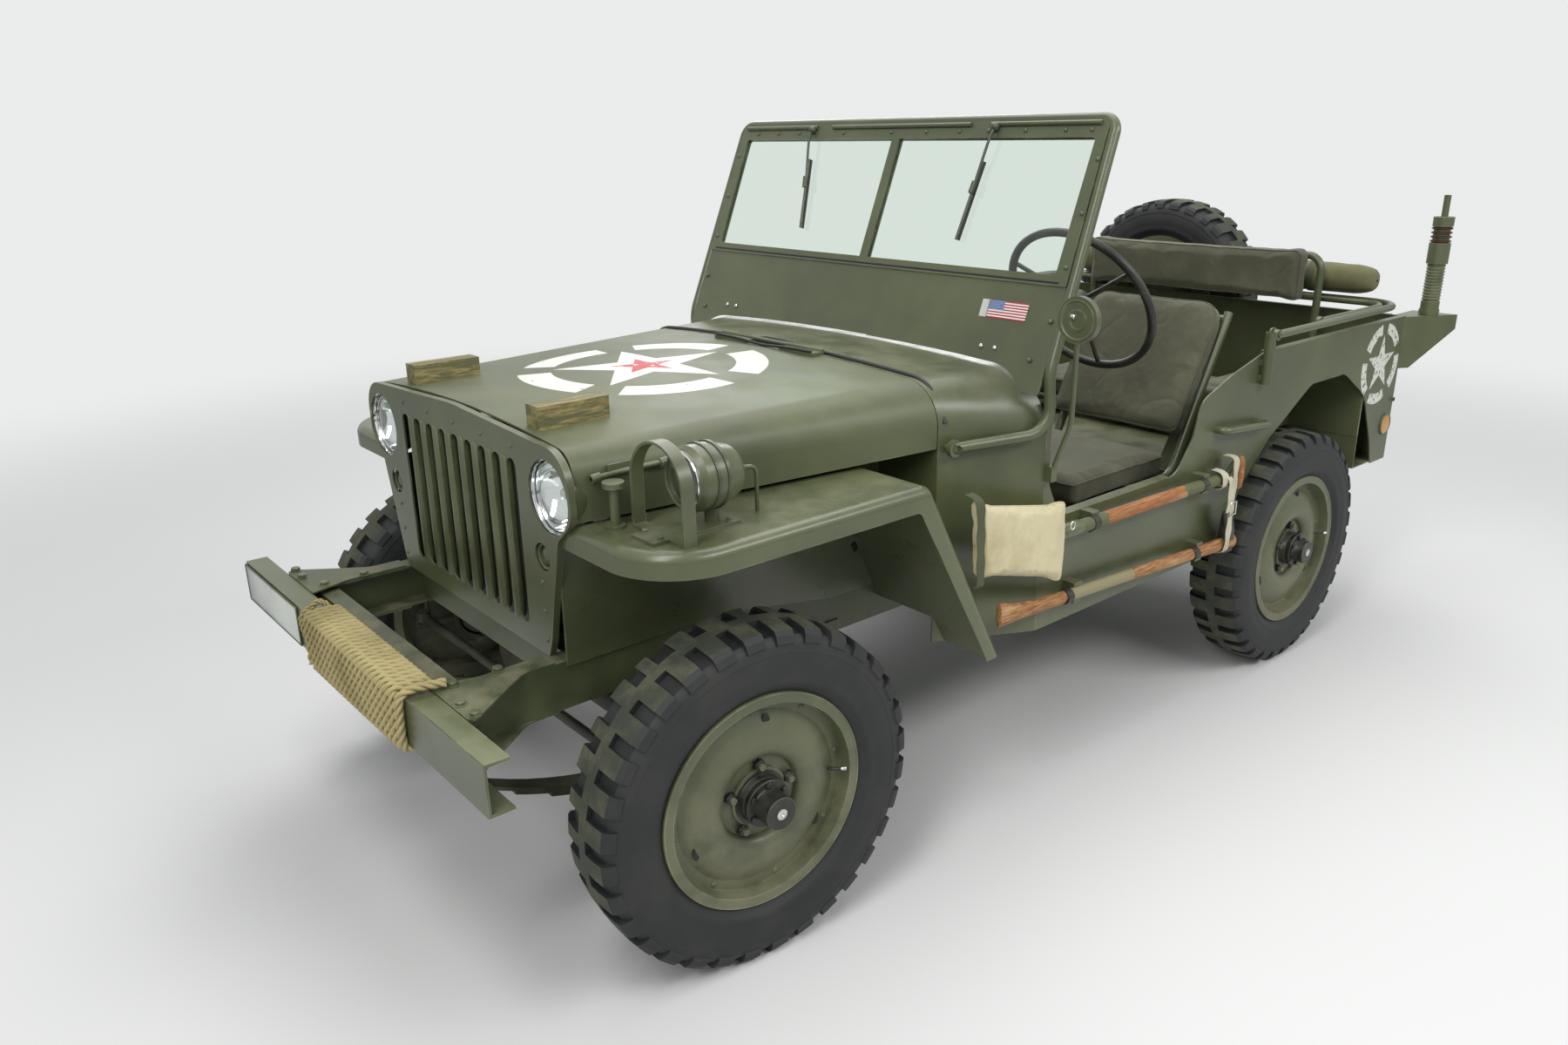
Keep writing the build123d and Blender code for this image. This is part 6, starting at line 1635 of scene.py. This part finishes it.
mirror_y = in_mm(spot)[1]
mirror_ring = turned("mirror_ring", (722, mirror_y, 1173), FORWARD, [
    (-1, 44), (1.6, 43), (2.4, 41), (1.6, 39), (0.4, 38), (0.4, 24), (2.2, 23), (2.8, 20), (2.2, 17),
    (0.2, 16), (0.2, 0), (-1, 0), (-1, 44)], 48)
placed(give(mirror_ring, body_paint), "chassis")
mirror_bolt = turned("mirror_bolt", (712, mirror_y - 1, 1180), FORWARD,
                     [(-1, 6), (3, 6), (4.5, 4), (5, 0)], 16)
placed(give(mirror_bolt, bright_steel), "chassis")


# Antenna base

ANTENNA = (672, 2790, 0)
insulator = finish_of("brown insulator", GRIME, {"Colour": shade(62, 38, 24), "Amount": 0.3,
                                                 "Roughness": 0.3}, Coat_Weight=0.4)


def antenna_rings():
    """Fine rings of the spring, brown insulators and the collar at the foot of the antenna base."""
    ribs = [(1012, 23)]
    for index in range(12):
        z = 1014 + index * 9.5
        ribs += [(z, 24.4), (z + 2.2, 27), (z + 5.0, 27), (z + 7.2, 24.4)]
    ribs += [(1129, 23), (1012, 23)]
    parts = [give(turned("ribs", ANTENNA, UPWARD, ribs, 32), body_paint)]
    for index in range(4):
        z = 1193 + index * 13
        ring = [(z, 22), (z + 1, 26), (z + 3.5, 30.4), (z + 6.5, 30.4), (z + 9, 26), (z + 10, 22), (z, 22)]
        parts.append(give(turned("ring", ANTENNA, UPWARD, ring, 32), insulator))
    collar = [(968, 26), (968, 29.5), (976, 30), (984, 29.5), (984, 26), (968, 26)]
    parts.append(give(turned("collar", ANTENNA, UPWARD, collar, 32), body_paint))
    return joined("antenna_rings", parts)


placed(antenna_rings(), "chassis")
# The hole in the body side is a flat dark disc: painted shade of the opening.
hole = turned("quarter_hole", (651.2, 2682, 700), LEFTWARD, [(-1, 7), (0.4, 7), (0.6, 6), (0.6, 0)], 24)
placed(give(hole, painted_hole_shade), "chassis")


# Straps that hold the tools

def ribbon(name, points, width, material, thick=1.6):
    """Flat webbing along points in mm, its width along the car."""
    path = smooth_run(points, 6)
    half = width / 2000
    vertices, faces = [], []
    for index, point in enumerate(path):
        wave = 0.0012 * math.sin(index * 0.6)
        vertices += [point + Vector((wave, -half, 0)), point + Vector((0, 0, wave)),
                     point + Vector((-wave, half, 0))]
    for index in range(len(path) - 1):
        low = index * 3
        faces += [(low, low + 1, low + 4, low + 3), (low + 1, low + 2, low + 5, low + 4)]
    piece = only(meshed(name, vertices, faces))
    wall = piece.modifiers.new("wall", "SOLIDIFY")
    wall.thickness = thick / 1000
    wall.offset = 0
    bpy.ops.object.modifier_apply(modifier="wall")
    return give(smooth(piece, 50), material)


tool_straps = (
    # name, width, points
    ("tool_strap_front", 26, [(664, 1560, 690), (684, 1560, 690), (700, 1560, 680), (702, 1560, 664),
                              (700, 1561, 646), (686, 1562, 640), (664, 1562, 640)]),
    ("tool_strap_rear", 24, [(664, 1612, 720), (690, 1612, 722), (699, 1612, 712), (700, 1611, 690),
                             (700, 1609, 620), (700, 1607, 540), (701, 1606, 470), (694, 1606, 448),
                             (664, 1606, 444)]),
    ("tool_strap_loose", 22, [(701, 1575, 672), (707, 1578, 668), (708, 1582, 640), (706, 1586, 600),
                              (703, 1588, 572)]),
)
for name, width, points in tool_straps:
    placed(ribbon(name, points, width, strap_web), "chassis")
buckle = [(704, y, z) for y, z in ((1596, 560), (1624, 560), (1624, 596), (1596, 596))]
placed(wire("tool_buckle", buckle, 2.6, bright_steel, False, 2, True), "chassis")
tool_clips = ((915, 510.5, 17.4), (1000, 674.2, 18.6), (1480, 665.3, 17.8), (1470, 477, 18))
for index, (y, z, reach) in enumerate(tool_clips):
    clip = turned(f"tool_clip_{index}", (TOOL_X, y, z), REARWARD, hoop(11, reach - 2, reach), 32)
    placed(give(clip, dark_paint), "chassis")
bag_strap = [(672, 560, 838), (690, 560, 836), (706, 560, 826), (707, 562, 790), (707, 565, 720),
             (707, 568, 650), (704, 570, 632), (680, 572, 626)]
placed(ribbon("bag_strap", bag_strap, 24, green_web), "chassis")
ring = [(708, y, z) for y, z in ((880, 690), (890, 696), (890, 708), (880, 712), (872, 702))]
placed(wire("bag_ring", ring, 1.8, bright_steel, True, 2, True), "chassis")
